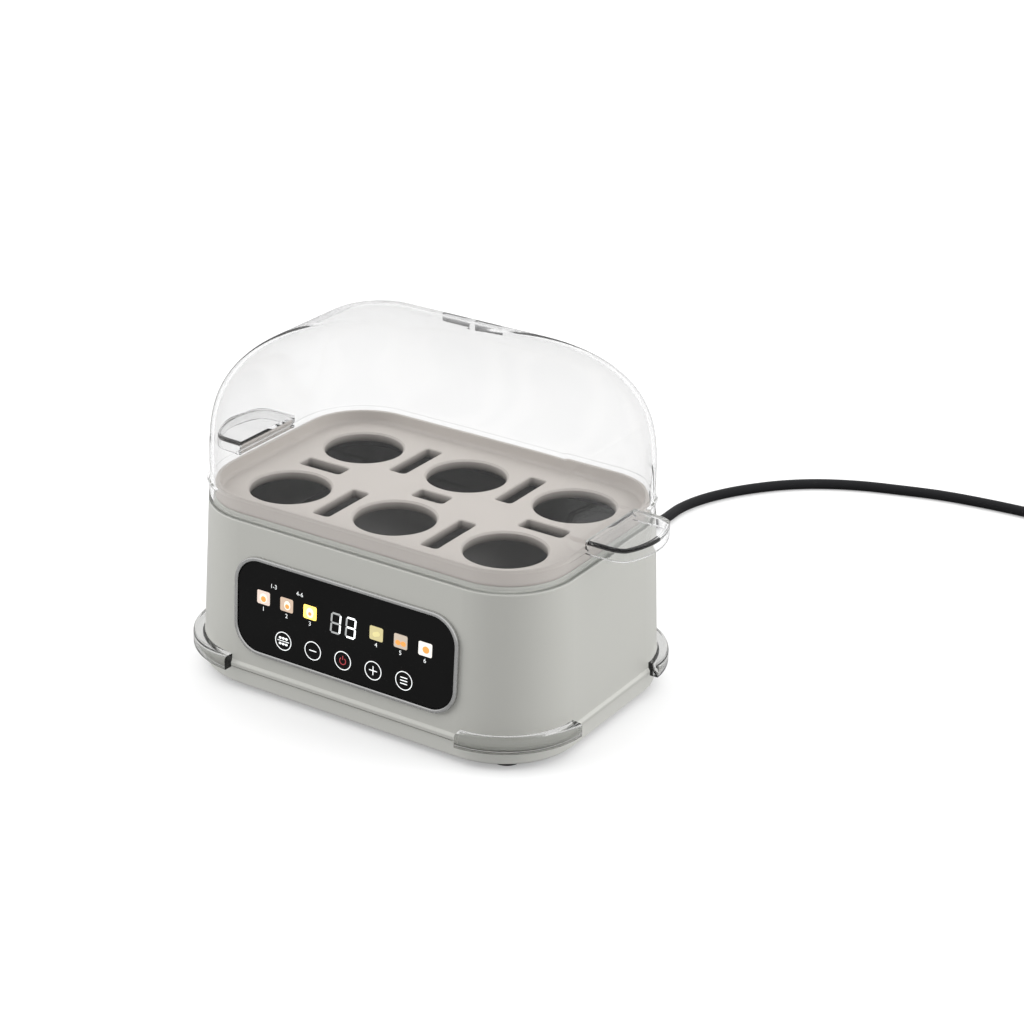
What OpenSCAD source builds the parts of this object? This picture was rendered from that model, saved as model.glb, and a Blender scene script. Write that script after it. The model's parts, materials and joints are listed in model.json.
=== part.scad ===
/* [Housing] */
// Width of the housing at its foot
housing_w = 215; // [200:1:235]
// Depth of the housing at its foot
housing_d = 151; // [142:1:165]
// Plan radius of the housing's corners
corner_r = 41; // [38:1:46]
// Height of the seam between base and housing
seam_z = 12.8; // [12:0.1:15]
// Height of the shoulder that the lid rests on
shoulder_z = 91.7; // [88:0.1:100]
// How far each wall leans in between seam and shoulder
draft = 3.9; // [2:0.1:5]
// Thickness of the housing wall
housing_wall = 2.6; // [2.2:0.1:3]
// Thickness of the neck that the lid fits over
neck_wall = 2.2; // [1.8:0.1:2.6]
// Height of the neck above the shoulder
neck_h = 2.3; // [2:0.1:3.4]
// How far the housing's foot stands out above the seam
foot_step = 0.8; // [0.4:0.1:1.2]
// Height of the housing's foot
step_h = 3.5; // [3:0.1:4.2]
// Height of the shadow groove under the seam
groove_h = 1.3; // [0.8:0.1:1.8]

/* [Base] */
// Height of the rubber feet under the base
foot_h = 3.4; // [3:0.1:4.4]
// Radius of a rubber foot
foot_r = 8; // [6:0.5:9]
// How far the base stands back under the housing
base_inset = 0.8; // [0.4:0.1:1.4]
// Thickness of the base floor
base_floor = 2.4; // [2:0.1:3]
// Length of an air slot in the base floor
air_slot_l = 26; // [18:1:32]
// Number of air slots in each group
air_slots = 6; // [4:1:7]
// Width of an air slot
air_slot_w = 3; // [2.4:0.1:3.6]
// Distance between air slots
air_slot_pitch = 8; // [7:0.5:10]

/* [Corner guards] */
// How far a guard stands out from the housing
guard_reach = 5.8; // [4.6:0.1:7]
// Height of a guard
guard_h = 7.2; // [6:0.1:8]
// Angle left free at each end of a guard's corner
guard_trim = 3; // [0:1:10]
// Rounding of a guard's upper edge
guard_edge = 1.8; // [1:0.1:2.4]

/* [Display] */
// Width of the black glass
glass_w = 128.6; // [118:0.2:134]
// Height of the black glass
glass_h = 48; // [44:0.2:51]
// Corner radius of the black glass
glass_r = 13; // [9:0.5:16]
// Thickness of the black glass
glass_t = 3; // [2.4:0.1:3.6]
// Height of the glass centre above the surface the cooker stands on
glass_z = 49.9; // [47:0.1:51]
// Width of the bright bezel around the glass
bezel_w = 2.1; // [1.9:0.1:3.2]
// How far the bezel stands out from the housing
bezel_t = 2; // [1.4:0.1:2.6]
// Distance between the touch keys
key_pitch = 18; // [15:0.1:20]
// Distance from the display's middle to the middle of each group of three symbols
icon_x = 34; // [32:0.1:36]
// Distance between neighbouring symbols
icon_pitch = 14.2; // [13:0.1:15]

/* [Tray] */
// Distance between egg holes along the tray
egg_pitch_x = 64; // [60:0.5:66]
// Distance between the two rows of egg holes
egg_pitch_y = 63; // [58:0.5:66]
// Radius of an egg hole
egg_hole_r = 20.5; // [18:0.1:22]
// Depth of the tray floor below its rim
tray_depth = 6.3; // [5:0.1:7]
// Thickness of the tray's walls
tray_wall = 2; // [1.6:0.1:2.4]
// Height of the collars under the egg holes and slots
collar_h = 5; // [3:0.1:6]
// Width of a steam slot in the tray
steam_slot_w = 10; // [8:0.1:10.6]
// Length of a steam slot in the tray
steam_slot_l = 35; // [28:0.1:37]
// Length of the two outer slots between the rows
outer_slot_l = 25.5; // [20:0.1:28]
// Length of the middle slot between the rows
middle_slot_l = 19.2; // [16:0.1:24]

/* [Lid] */
// Height of the lid's crown above the surface the cooker stands on
crown_z = 186.3; // [176:0.1:196]
// Thickness of the clear lid
lid_wall = 2.2; // [1.8:0.1:2.4]
// Gap between the lid's skirt and the neck
lid_gap = 1.2; // [1:0.1:1.5]
// How far the bead stands out around the lid
bead_t = 1.2; // [0.8:0.1:1.8]
// Distance from the cooker's middle to the tip of a lid handle
handle_reach = 129.8; // [124:0.1:134]
// Half the width of a lid handle
handle_half_w = 23.2; // [20:0.2:27]
// Height of a lid handle, from its top to its lip
handle_h = 7; // [5.6:0.1:8]
// Thickness of a lid handle
handle_t = 2; // [1.6:0.1:2.4]
// Rounding of a lid handle's two corners
handle_corner_r = 14; // [10:0.5:17]
// Radius of the arc along a lid handle's tip
handle_tip_r = 40; // [30:1:60]
// Length of a steam vent in the lid
vent_l = 15.3; // [12:0.1:17]
// Width of a steam vent in the lid
vent_w = 5.2; // [4.4:0.1:6]
// Distance between the middles of the two vents
vent_pitch = 19.5; // [18.5:0.1:24]

/* [Heating] */
// How far the ledge that carries the pan lies below the shoulder
ledge_drop = 9.3; // [8:0.1:11]
// Depth of the pan below its flange
pan_depth = 18; // [14:0.5:20]
// Thickness of the pan's steel
pan_t = 1; // [0.8:0.1:1.2]
// Radius of the heating tube
element_r = 3.2; // [2.8:0.1:3.8]
// Radius of the heating tube's bends
element_bend_r = 26; // [20:1:30]
// Distance between the two bends of the heating tube
element_l = 70; // [50:1:84]

/* [Cord] */
// Diameter of the mains cord
cord_d = 6; // [5.4:0.1:6.6]
// Height at which the cord leaves the housing
cord_exit_z = 23.5; // [23:0.5:26]
// Length of the tapered strain relief outside the housing
relief_l = 32; // [24:1:40]
// Radius of the stored coil at the middle of its turns
coil_r = 31; // [29:0.5:34]

/* [Hidden] */

// Colours
c_body = [0.74, 0.74, 0.71];
c_tray = [0.80, 0.77, 0.73];
c_clear = [0.86, 0.90, 0.91, 0.45];
c_black = [0.10, 0.10, 0.11];
c_rubber = [0.13, 0.13, 0.13];
c_silver = [0.78, 0.78, 0.79];
c_steel = [0.68, 0.69, 0.70];
c_board = [0.10, 0.36, 0.20];
c_brass = [0.78, 0.62, 0.30];
c_white = [0.92, 0.92, 0.90];
c_blue = [0.15, 0.30, 0.60];

tiny = 0.01;
seat_gap = 0.3;
$fn = 48;

// Places worked out from the sizes above
slope = draft / (shoulder_z - seam_z);
draft_angle = atan(slope);
neck_inset = draft + lid_wall + lid_gap;
neck_top = shoulder_z + neck_h;
tray_lip_in = neck_inset + neck_wall + 0.4;
tray_floor_z = neck_top + tray_wall;
tray_rim_z = tray_floor_z + tray_depth;
step_z = seam_z + step_h;
corner_x = housing_w / 2 - corner_r;
corner_y = housing_d / 2 - corner_r;

// How far the outer wall has leaned in at a height
function lean(z) = slope * (z - seam_z);
function wall_in(z) = lean(z) + housing_wall;

// ---------- shared shapes ----------

// A wall section carried round a rounded rectangle. Points are [inset from the outline, height].
module around(section, w = housing_w, d = housing_d, r = corner_r) {
  cx = w / 2 - r;
  cy = d / 2 - r;
  inward = [for (p = section) [r - p[0], p[1]]];
  for (turn = [0:3]) {
    sx = (turn == 0 || turn == 3) ? 1 : -1;
    sy = (turn < 2) ? 1 : -1;
    translate([sx * cx, sy * cy, 0])
      rotate([0, 0, 90 * turn])
        rotate_extrude(angle = 90) polygon(inward);
  }
  if (cy > 0)
    for (side = [0, 180]) rotate([0, 0, side])
      translate([cx, cy, 0]) rotate([90, 0, 0]) linear_extrude(2 * cy) polygon(inward);
  if (cx > 0)
    for (side = [90, 270]) rotate([0, 0, side])
      translate([cy, cx, 0]) rotate([90, 0, 0]) linear_extrude(2 * cx) polygon(inward);
}

// A flat plate with rounded corners
module rounded_plate(w, d, r, z0, z1) {
  around([[0, z0], [r, z0], [r, z1], [0, z1]], w, d, r);
  translate([-(w / 2 - r), -(d / 2 - r), z0]) cube([w - 2 * r, d - 2 * r, z1 - z0]);
}

// A straight slot with small corner radii, along X, from z0 up
module straight_slot(length, width, corner, z0, h) {
  translate([0, 0, z0]) rounded_plate(length, width, corner, 0, h);
}

// A slot with round ends, along X, from z0 up
module slot(length, width, z0, h) {
  translate([-(length - width) / 2, -width / 2, z0]) cube([length - width, width, h]);
  for (s = [-1, 1])
    translate([s * (length - width) / 2, 0, z0]) cylinder(d = width, h = h);
}

module both_ways(x, y) {
  for (sx = [-1, 1], sy = [-1, 1]) translate([sx * x, sy * y, 0]) children();
}

// ---------- base ----------

foot_x = housing_w / 2 - 24;
foot_y = housing_d / 2 - 18.4;
boss_r = 4.5;
boss_top = seam_z + 16;
screw_bite = 8.4;
screw_r = 1.3;
screw_head_r = 3.2;
screw_head_z = foot_h + 3.8;
base_screw_l = seam_z + screw_bite - screw_head_z;
front_boss_x = housing_w / 2 - 31.5;
front_boss_y = corner_y + sqrt(pow(corner_r - housing_wall, 2) - pow(front_boss_x - corner_x, 2))
  - boss_r + 0.4;
side_boss_x = housing_w / 2 - housing_wall - boss_r + 0.4;

module at_base_screws() {
  both_ways(front_boss_x, front_boss_y) children();
  for (s = [-1, 1]) translate([s * side_boss_x, 0, 0]) children();
}

lip_h = 3.4;
air_x = 62;
base_bevel = 0.6;
groove_in = 1.4;
board_x = -6;
board_y = 14;
board_w = 92;
board_d = 52;
board_z = foot_h + 17;
board_t = 1.6;
stand_r = 3.2;
clamp_y = housing_d / 2 - 19;
clamp_post_x = 11;
clamp_z = cord_exit_z - cord_d / 2;
lip_t = 1.6;
clamp_top = clamp_z + cord_d - 0.4;

module at_board_stands() {
  translate([board_x, board_y, 0]) both_ways(board_w / 2 - 5, board_d / 2 - 5) children();
}

module base_plate() {
  lip_in = housing_wall + seat_gap;
  floor_top = foot_h + base_floor;
  rim_in = lip_in + lip_t - 1;
  color(c_body) difference() {
    union() {
      around([
        [base_inset + base_bevel, foot_h], [rim_in + 3, foot_h], [rim_in + 3, floor_top],
        [lip_in + lip_t, floor_top + 2], [lip_in + lip_t, seam_z + lip_h],
        [lip_in, seam_z + lip_h], [lip_in, seam_z], [groove_in, seam_z],
        [groove_in, seam_z - groove_h], [base_inset, seam_z - groove_h],
        [base_inset, foot_h + base_bevel]
      ]);
      rounded_plate(housing_w - 2 * rim_in - 5, housing_d - 2 * rim_in - 5,
                    corner_r - rim_in - 2.5, foot_h, floor_top);
      at_base_screws() translate([0, 0, foot_h]) cylinder(r = boss_r, h = seam_z - foot_h);
      at_board_stands() translate([0, 0, foot_h]) cylinder(r = stand_r, h = board_z - foot_h);
      for (s = [-1, 1]) translate([s * clamp_post_x, clamp_y, foot_h])
        cylinder(r = stand_r, h = clamp_top - foot_h);
      translate([-clamp_post_x, clamp_y - 3, foot_h])
        cube([2 * clamp_post_x, 6, clamp_z - foot_h]);
    }
    both_ways(foot_x, foot_y) translate([0, 0, foot_h - 1]) cylinder(r = 3.1, h = base_floor + 2);
    at_base_screws() translate([0, 0, seam_z]) cylinder(r = boss_r + 0.6, h = lip_h + 1);
    translate([-relief_flange_r - 1, housing_d / 2 - lip_in - 2 * lip_t, seam_z])
      cube([2 * relief_flange_r + 2, lip_in + 2 * lip_t, lip_h + 1]);
    at_base_screws() {
      translate([0, 0, foot_h - 1]) cylinder(r = screw_r + 0.4, h = seam_z);
      translate([0, 0, foot_h - 1]) cylinder(r = screw_head_r + 0.3, h = screw_head_z - foot_h + 1);
    }
    at_board_stands() translate([0, 0, floor_top + 4]) cylinder(r = screw_r, h = board_z);
    for (s = [-1, 1]) translate([s * clamp_post_x, clamp_y, floor_top + 2])
      cylinder(r = screw_r, h = board_z);
    for (s = [-1, 1], i = [0:air_slots - 1])
      translate([s * air_x, (i - (air_slots - 1) / 2) * air_slot_pitch - air_slot_pitch / 2, 0])
        slot(air_slot_l, air_slot_w, foot_h - 1, base_floor + 2);
  }
}

module rubber_feet() {
  color(c_rubber) both_ways(foot_x, foot_y) {
    cylinder(r1 = foot_r - 0.8, r2 = foot_r, h = 1);
    translate([0, 0, 1]) cylinder(r = foot_r, h = foot_h - 1);
    translate([0, 0, foot_h]) cylinder(r = 3, h = base_floor + 0.1);
    translate([0, 0, foot_h + base_floor + 0.1]) cylinder(r1 = 3.6, r2 = 2.6, h = 1.4);
  }
}

// A pan-head screw standing on z = 0 with its shank upwards
module screw(shank_l, r = screw_r - 0.1, head_r = screw_head_r, head_h = 2.2) {
  translate([0, 0, -head_h]) difference() {
    cylinder(r = head_r, h = head_h);
    for (a = [0, 90]) rotate([0, 0, a]) translate([-head_r * 0.55, -0.4, -tiny])
      cube([head_r * 1.1, 0.8, 1]);
  }
  cylinder(r = r, h = shank_l);
}

module base_screws() {
  color(c_steel) at_base_screws() translate([0, 0, screw_head_z]) screw(base_screw_l);
}

// ---------- housing ----------

// Places a shape on the leaning front wall, at the middle of the display, facing out along +Z
module on_front() {
  translate([0, -(housing_d / 2 - lean(glass_z)), glass_z])
    rotate([90 - draft_angle, 0, 0]) children();
}

ledge_in = 13;
ledge_z = shoulder_z - ledge_drop;
ledge_t = 2.4;
neck_root = shoulder_z - 2.7;
sleeve_t = 1;
window_gap = 0.2;
window_w = glass_w + 2 * (sleeve_t + window_gap);
window_h = glass_h + 2 * (sleeve_t + window_gap);
window_r = glass_r + sleeve_t + window_gap;
relief_neck_r = 5.2;
carrier_ear_x = glass_w / 2 + 9;
carrier_ear_y = 14;
carrier_boss_l = 4;
carrier_gap = 0.3;

module housing_shell() {
  color(c_body) difference() {
    union() {
      around([
        [-foot_step, seam_z], [-foot_step, step_z - 1.6], [lean(step_z), step_z],
        [draft, shoulder_z], [neck_inset, shoulder_z], [neck_inset, neck_top],
        [neck_inset + neck_wall, neck_top], [neck_inset + neck_wall, neck_root],
        [wall_in(neck_root), neck_root], [wall_in(ledge_z), ledge_z], [ledge_in, ledge_z],
        [ledge_in, ledge_z - ledge_t], [wall_in(ledge_z - ledge_t), ledge_z - ledge_t],
        [housing_wall, seam_z]
      ]);
      intersection() {
        union() {
          at_base_screws() translate([0, 0, seam_z]) cylinder(r = boss_r, h = boss_top - seam_z);
          for (s = [-1, 1]) translate([s * carrier_ear_x, 0, 0]) on_front_screws()
            cylinder(r = 3.4, h = carrier_boss_l + 1);
        }
        around([
          [tiny + 0.5, seam_z], [tiny + 0.5 + lean(ledge_z), ledge_z], [corner_r, ledge_z],
          [corner_r, seam_z]
        ]);
      }
    }
    on_front() rounded_plate(window_w, window_h, window_r, -housing_wall - 2, 2);
    at_base_screws() translate([0, 0, seam_z - 1]) cylinder(r = screw_r, h = screw_bite + 4);
    for (s = [-1, 1]) translate([s * carrier_ear_x, 0, 0]) on_front_screws()
      translate([0, 0, -1]) cylinder(r = screw_r - 0.3, h = carrier_boss_l + 0.4);
    translate([0, housing_d / 2 + 2, cord_exit_z]) rotate([90, 0, 0])
      cylinder(r = relief_neck_r, h = housing_wall + 4);
  }
}

// The two screw places on one side of the display, facing out along the front wall's normal
module on_front_screws() {
  for (s = [-1, 1]) on_front()
    translate([0, s * carrier_ear_y, -housing_wall - carrier_boss_l]) children();
}

// ---------- corner guards ----------

guard_z0 = seam_z - 0.6;
guard_z1 = guard_z0 + guard_h;
guard_cap = 1.4;
guard_gap = 0.1;

// A solid clear bar that follows the housing's foot and wall, with a rounded upper edge
module guard() {
  foot_r_out = corner_r + foot_step + guard_gap;
  outer = corner_r + guard_reach;
  soft = guard_edge * 0.3;
  section = [
    [foot_r_out, guard_z0], [outer - soft, guard_z0], [outer, guard_z0 + soft],
    [outer, guard_z1 - guard_edge], [outer - soft, guard_z1 - soft],
    [outer - guard_edge, guard_z1], [corner_r - lean(guard_z1) + guard_gap, guard_z1],
    [corner_r - lean(step_z) + guard_gap, step_z + guard_gap],
    [foot_r_out, step_z - 1.6 + guard_gap]
  ];
  translate([corner_x, corner_y, 0]) rotate([0, 0, guard_trim])
    rotate_extrude(angle = 90 - 2 * guard_trim) polygon(section);
}

module rear_right_guard() color(c_clear) guard();
module rear_left_guard() color(c_clear) mirror([1, 0, 0]) guard();
module front_right_guard() color(c_clear) mirror([0, 1, 0]) guard();
module front_left_guard() color(c_clear) mirror([1, 0, 0]) mirror([0, 1, 0]) guard();

// ---------- display ----------

glass_back = -1.8;
carrier_depth = 7.5;
carrier_t = 1.6;
carrier_rim = 1.6;
pcb_t = 1.6;
pcb_top = glass_back - 3.2;
key_drop = 14.2;
digit_x = -0.2;
digit_y = 4.3;
icon_y = 5.7;
icon_cell = 10.4;
cell_wall = 1.3;

module display_bezel() {
  w = glass_w + 2 * bezel_w;
  h = glass_h + 2 * bezel_w;
  color(c_silver) on_front() around([
    [0, 0.02], [0, bezel_t - 0.5], [0.5, bezel_t], [bezel_w - 0.1, bezel_t],
    [bezel_w - 0.1, -housing_wall - 0.4], [bezel_w - sleeve_t, -housing_wall - 0.4],
    [bezel_w - sleeve_t, 0.02]
  ], w, h, glass_r + bezel_w);
}

module display_glass() {
  color(c_black) on_front()
    rounded_plate(glass_w - 0.2, glass_h - 0.2, glass_r - 0.1, glass_back, glass_back + glass_t);
}

module display_carrier() {
  back = -housing_wall - carrier_gap - carrier_depth;
  inner_w = glass_w + 2;
  inner_h = glass_h + 2;
  color(c_black) on_front() difference() {
    union() {
      rounded_plate(inner_w + 2 * carrier_rim, inner_h + 2 * carrier_rim, glass_r + 2,
                    back, -housing_wall - carrier_gap - 0.4);
      for (s = [-1, 1]) translate([s * (carrier_ear_x - 2), 0, 0])
        rounded_plate(12, 2 * carrier_ear_y + 8, 3.9,
                      -housing_wall - carrier_boss_l - 2.2, -housing_wall - carrier_boss_l - 0.05);
    }
    translate([0, 0, back + carrier_t])
      rounded_plate(inner_w, inner_h, glass_r + 0.6, 0, carrier_depth + 1);
    for (s = [-1, 1], t = [-1, 1]) translate([s * carrier_ear_x, t * carrier_ear_y, -20])
      cylinder(r = screw_r + 0.3, h = 20);
    translate([0, 0, back - 1]) rounded_plate(60, 20, 4, 0, carrier_t + 2);
  }
  color(c_black) on_front() for (s = [-1, 1], t = [-1, 1])
    translate([s * (glass_w / 2 - 12), t * (glass_h / 2 - 7), back + carrier_t - tiny])
      cylinder(r = 2.4, h = pcb_top - pcb_t - back - carrier_t + tiny);
}

module carrier_screws() {
  color(c_steel) on_front() for (s = [-1, 1], t = [-1, 1])
    translate([s * carrier_ear_x, t * carrier_ear_y, -housing_wall - carrier_boss_l - 2.2])
      screw(4.8, screw_r - 0.4, 2.4, 1.4);
}

module touch_board() {
  color(c_board) on_front() rounded_plate(glass_w - 1, glass_h - 1, glass_r - 1,
                                          pcb_top - pcb_t, pcb_top);
}

// Conductive pads that carry each touch key's place from the board to the glass
module touch_pads() {
  color(c_brass) on_front() for (i = [-2:2])
    translate([i * key_pitch, -key_drop, pcb_top]) difference() {
      cylinder(r = 3.4, h = glass_back - pcb_top - 0.05);
      translate([0, 0, 0.6]) cylinder(r = 2.2, h = 10);
    }
}

module digit_module() {
  color(c_black) on_front() translate([digit_x - 9.5, digit_y - 8.5, pcb_top])
    cube([19, 17, glass_back - pcb_top - 0.05]);
}

// Two blocks of three cells that keep the light of each symbol apart
module icon_light_boxes() {
  block_w = 2 * icon_pitch + icon_cell + 2 * cell_wall;
  block_h = icon_cell + 2 * cell_wall;
  color(c_white) on_front() for (middle = [-icon_x, icon_x]) difference() {
    translate([middle - block_w / 2, icon_y - block_h / 2, pcb_top])
      cube([block_w, block_h, glass_back - pcb_top - 0.05]);
    for (i = [-1:1])
      translate([middle + i * icon_pitch - icon_cell / 2, icon_y - icon_cell / 2, pcb_top - 1])
        cube([icon_cell, icon_cell, 8]);
  }
}

// ---------- power board ----------

board_top = board_z + board_t;

module power_board() {
  color(c_board) difference() {
    translate([board_x - board_w / 2, board_y - board_d / 2, board_z])
      cube([board_w, board_d, board_t]);
    at_board_stands() translate([0, 0, board_z - 1]) cylinder(r = screw_r + 0.3, h = 4);
  }
}

module board_screws() {
  color(c_steel) at_board_stands() translate([0, 0, board_top]) mirror([0, 0, 1]) screw(8);
}

module power_relay() {
  color(c_blue) translate([board_x - 24, board_y + 2, board_top]) cube([19, 15.5, 15.5]);
}

module filter_capacitor() {
  color(c_blue) translate([board_x + 4, board_y - 14, board_top]) cube([18, 8, 14]);
}

module terminal_block() {
  color(c_board) translate([board_x + 12, board_y + 8, board_top]) difference() {
    cube([20, 10, 12]);
    for (i = [0:3]) {
      translate([2.5 + 5 * i, 5, 4]) cylinder(r = 1.7, h = 10);
      translate([2.5 + 5 * i, 3, 5]) rotate([-90, 0, 0]) cylinder(r = 1.3, h = 8);
    }
  }
}

// ---------- heating ----------

seal_t = 1.2;
flange_z = ledge_z + seal_t;
pan_floor_z = flange_z + pan_t - pan_depth;
pan_edge_in = wall_in(flange_z) + 1;
pan_in = ledge_in + 1.2;
element_z = pan_floor_z - pan_t - element_r;
shield_z = element_z - element_r - 6;
shield_t = 0.8;
shield_w = element_l + 2 * element_bend_r + 26;
shield_d = 2 * element_bend_r + 30;
stud_x = shield_w / 2 - 8;
stud_y = shield_d / 2 - 8;
thermostat_r = 7.8;
thermostat_h = 5.6;
terminal_x = 20;

module heating_pan() {
  bottom = pan_floor_z - pan_t;
  bend = 4;
  color(c_steel) {
    around([
      [pan_edge_in, flange_z], [pan_in, flange_z], [pan_in + 1.2, bottom + bend],
      [pan_in + 1.2 + bend, bottom], [corner_r, bottom], [corner_r, pan_floor_z],
      [pan_in + 1.6 + bend, pan_floor_z], [pan_in + 2.2, pan_floor_z + bend],
      [pan_in + pan_t, flange_z + pan_t], [pan_edge_in, flange_z + pan_t]
    ]);
    translate([-corner_x, -corner_y, bottom]) cube([2 * corner_x, 2 * corner_y, pan_t]);
  }
}

module pan_seal() {
  color(c_rubber) around([
    [pan_edge_in + 0.6, ledge_z], [ledge_in - 0.4, ledge_z],
    [ledge_in - 0.4, flange_z], [pan_edge_in + 0.6, flange_z]
  ]);
}

// A closed heating tube shaped like a running track, brazed under the pan
module heating_element() {
  color(c_steel) {
    for (side = [0, 180]) rotate([0, 0, side]) {
      translate([element_l / 2, 0, element_z]) rotate([0, 0, -90])
        rotate_extrude(angle = 180) translate([element_bend_r, 0]) circle(r = element_r);
      translate([-element_l / 2, element_bend_r, element_z]) rotate([0, 90, 0])
        cylinder(r = element_r, h = element_l);
    }
  }
}

module element_terminals() {
  color(c_brass) for (s = [-1, 1])
    translate([s * terminal_x, -element_bend_r, 0]) {
      translate([0, 0, shield_z - 8]) cylinder(r = 1.6, h = element_z - element_r - shield_z + 7.95);
      translate([-3.15, -0.4, shield_z - 16]) cube([6.3, 0.8, 9]);
    }
}

module at_studs() {
  both_ways(stud_x, stud_y) children();
}

module heat_shield() {
  color(c_steel) difference() {
    union() {
      rounded_plate(shield_w, shield_d, 12, shield_z, shield_z + shield_t);
      around([[0, shield_z - 5], [shield_t, shield_z - 5], [shield_t, shield_z + shield_t],
              [0, shield_z + shield_t]], shield_w, shield_d, 12);
    }
    at_studs() translate([0, 0, shield_z - 1]) cylinder(r = 2.1, h = 3);
    for (s = [-1, 1]) translate([s * terminal_x, -element_bend_r, shield_z - 1])
      cylinder(r = 4.5, h = 3);
  }
}

module shield_studs() {
  top = pan_floor_z - pan_t;
  color(c_steel) at_studs() {
    translate([0, 0, shield_z - 5]) cylinder(r = 1.9, h = top - shield_z + 5);
    translate([0, 0, shield_z + shield_t + 0.05]) cylinder(r = 3.4, h = top - shield_z - shield_t - 0.05);
    translate([0, 0, shield_z - 3.05]) cylinder(r = 4, h = 3, $fn = 6);
  }
}

module thermostat() {
  top = pan_floor_z - pan_t;
  color(c_black) {
    translate([0, 0, top - thermostat_h]) cylinder(r = thermostat_r, h = thermostat_h);
    for (s = [-1, 1]) translate([s * 4.5 - 0.4, -3, top - thermostat_h - 3]) cube([0.8, 6, 3.1]);
  }
}

// A sprung strip that presses the thermostat up against the pan
module thermostat_clip() {
  top = pan_floor_z - pan_t - thermostat_h - 0.05;
  inner = shield_z + shield_t;
  color(c_steel) for (s = [-1, 1]) {
    translate([-3, s * 12.5 - 5, top - 0.8]) cube([6, 10, 0.8]);
    translate([-3, s * 17.1 - 0.4, inner]) cube([6, 0.8, top - inner]);
    translate([-3, s * 19.5 - 2.8, inner + 0.02]) cube([6, 5.6, 0.8]);
  }
}

module thermal_fuse() {
  color(c_white) translate([18, -7.5, pan_floor_z - pan_t - 2.3]) rotate([0, 90, 0]) {
    cylinder(r = 2.3, h = 13);
    translate([0, 0, -6]) cylinder(r = 0.7, h = 25);
  }
}

// ---------- cord ----------

relief_flange_r = 6.8;
relief_flange_t = 1.6;
relief_tip_r = cord_d / 2 + 1.2;
exit_y = housing_d / 2 - lean(cord_exit_z) + relief_flange_t + relief_l;

// A flexible sleeve: flange outside, neck through the wall, collar inside
module strain_relief() {
  wall_out = housing_d / 2 - lean(cord_exit_z);
  wall_inner = wall_out - housing_wall;
  rib = relief_l / 9;
  color(c_rubber) translate([0, 0, cord_exit_z]) rotate([-90, 0, 0]) difference() {
    union() {
      translate([0, 0, wall_out + 0.3]) cylinder(r = relief_flange_r, h = relief_flange_t - 0.3);
      translate([0, 0, wall_inner - 1]) cylinder(r = relief_neck_r - 0.2, h = housing_wall + 2);
      translate([0, 0, wall_inner - 3.4]) cylinder(r = relief_flange_r, h = 2.9);
      translate([0, 0, wall_out + relief_flange_t])
        cylinder(r1 = relief_neck_r, r2 = relief_tip_r, h = relief_l);
    }
    translate([0, 0, wall_inner - 5]) cylinder(r = cord_d / 2 + 0.05, h = relief_l + 20);
    for (i = [1:6]) translate([0, 0, wall_out + relief_flange_t + i * rib]) difference() {
      cylinder(r = 10, h = rib * 0.4);
      translate([0, 0, -1]) cylinder(r = cord_d / 2 + 0.8, h = rib);
    }
  }
}

module cord_clamp() {
  color(c_black) difference() {
    translate([-clamp_post_x - 5, clamp_y - 4, clamp_top]) cube([2 * clamp_post_x + 10, 8, 3]);
    for (s = [-1, 1]) translate([s * clamp_post_x, clamp_y, clamp_top - 1])
      cylinder(r = screw_r + 0.3, h = 6);
  }
}

module clamp_screws() {
  color(c_steel) for (s = [-1, 1]) translate([s * clamp_post_x, clamp_y, clamp_top + 3])
    mirror([0, 0, 1]) screw(8, screw_r - 0.1, 2.8, 1.8);
}

// The cord's route, from inside the clamp to the stored coil
cord_points = [
  [0, 50, 23.5], [0, 62, 23.5], [0, 76, 23.5], [0, 92, 23.5], [0, 108, 23.5], [0, 121, 22.2],
  [1, 136, 16.8], [2, 152, 9.8], [4, 168, 4.8], [6, 187, 3], [9, 207, 3], [10, 226, 3],
  [10, 245, 3], [14, 263, 3], [22, 281, 3], [33, 298, 3], [46, 313, 3], [62, 326, 3],
  [82, 337, 3], [104, 345, 3], [127, 352, 3], [150, 356, 3], [175, 358.5, 3], [196, 359, 3],
  [214, 359, 3]
];
cord_steps = 2;
cord_sides = 8;
coil_x = 214;
coil_y = 393;
coil_w = 2;

function spline(a, b, c, d, t) =
  0.5 * (2 * b + (c - a) * t + (2 * a - 5 * b + 4 * c - d) * t * t
         + (3 * b - a - 3 * c + d) * t * t * t);
function route(points, steps) = let (n = len(points)) concat(
  [for (i = [0:n - 2], s = [0:steps - 1])
    spline(points[max(i - 1, 0)], points[i], points[i + 1], points[min(i + 2, n - 1)], s / steps)],
  [points[n - 1]]);
function unit(v) = v / norm(v);

// A round tube swept along a line of points, with its rings standing square to the line
module tube(line, r, sides) {
  n = len(line);
  rings = [for (i = [0:n - 1])
    let (
      ahead = unit(line[min(i + 1, n - 1)] - line[max(i - 1, 0)]),
      side = unit(cross(ahead, [0, 0, 1])),
      up = cross(side, ahead)
    )
    for (k = [0:sides - 1]) line[i] + r * (cos(360 * k / sides) * side + sin(360 * k / sides) * up)];
  polyhedron(rings, concat(
    [[for (k = [0:sides - 1]) k]],
    [for (i = [0:n - 2], k = [0:sides - 1])
      let (a = i * sides + k, b = i * sides + (k + 1) % sides) [a, a + sides, b + sides, b]],
    [[for (k = [sides - 1:-1:0]) (n - 1) * sides + k]]
  ));
}

module power_cord() {
  color(c_black) tube(route(cord_points, cord_steps), cord_d / 2, cord_sides);
}

module cord_coil() {
  color(c_black) translate([coil_x, coil_y, 0]) rotate_extrude()
    translate([coil_r - coil_w / 2 * cord_d, 0]) square([coil_w * cord_d, 2 * cord_d]);
}

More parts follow.
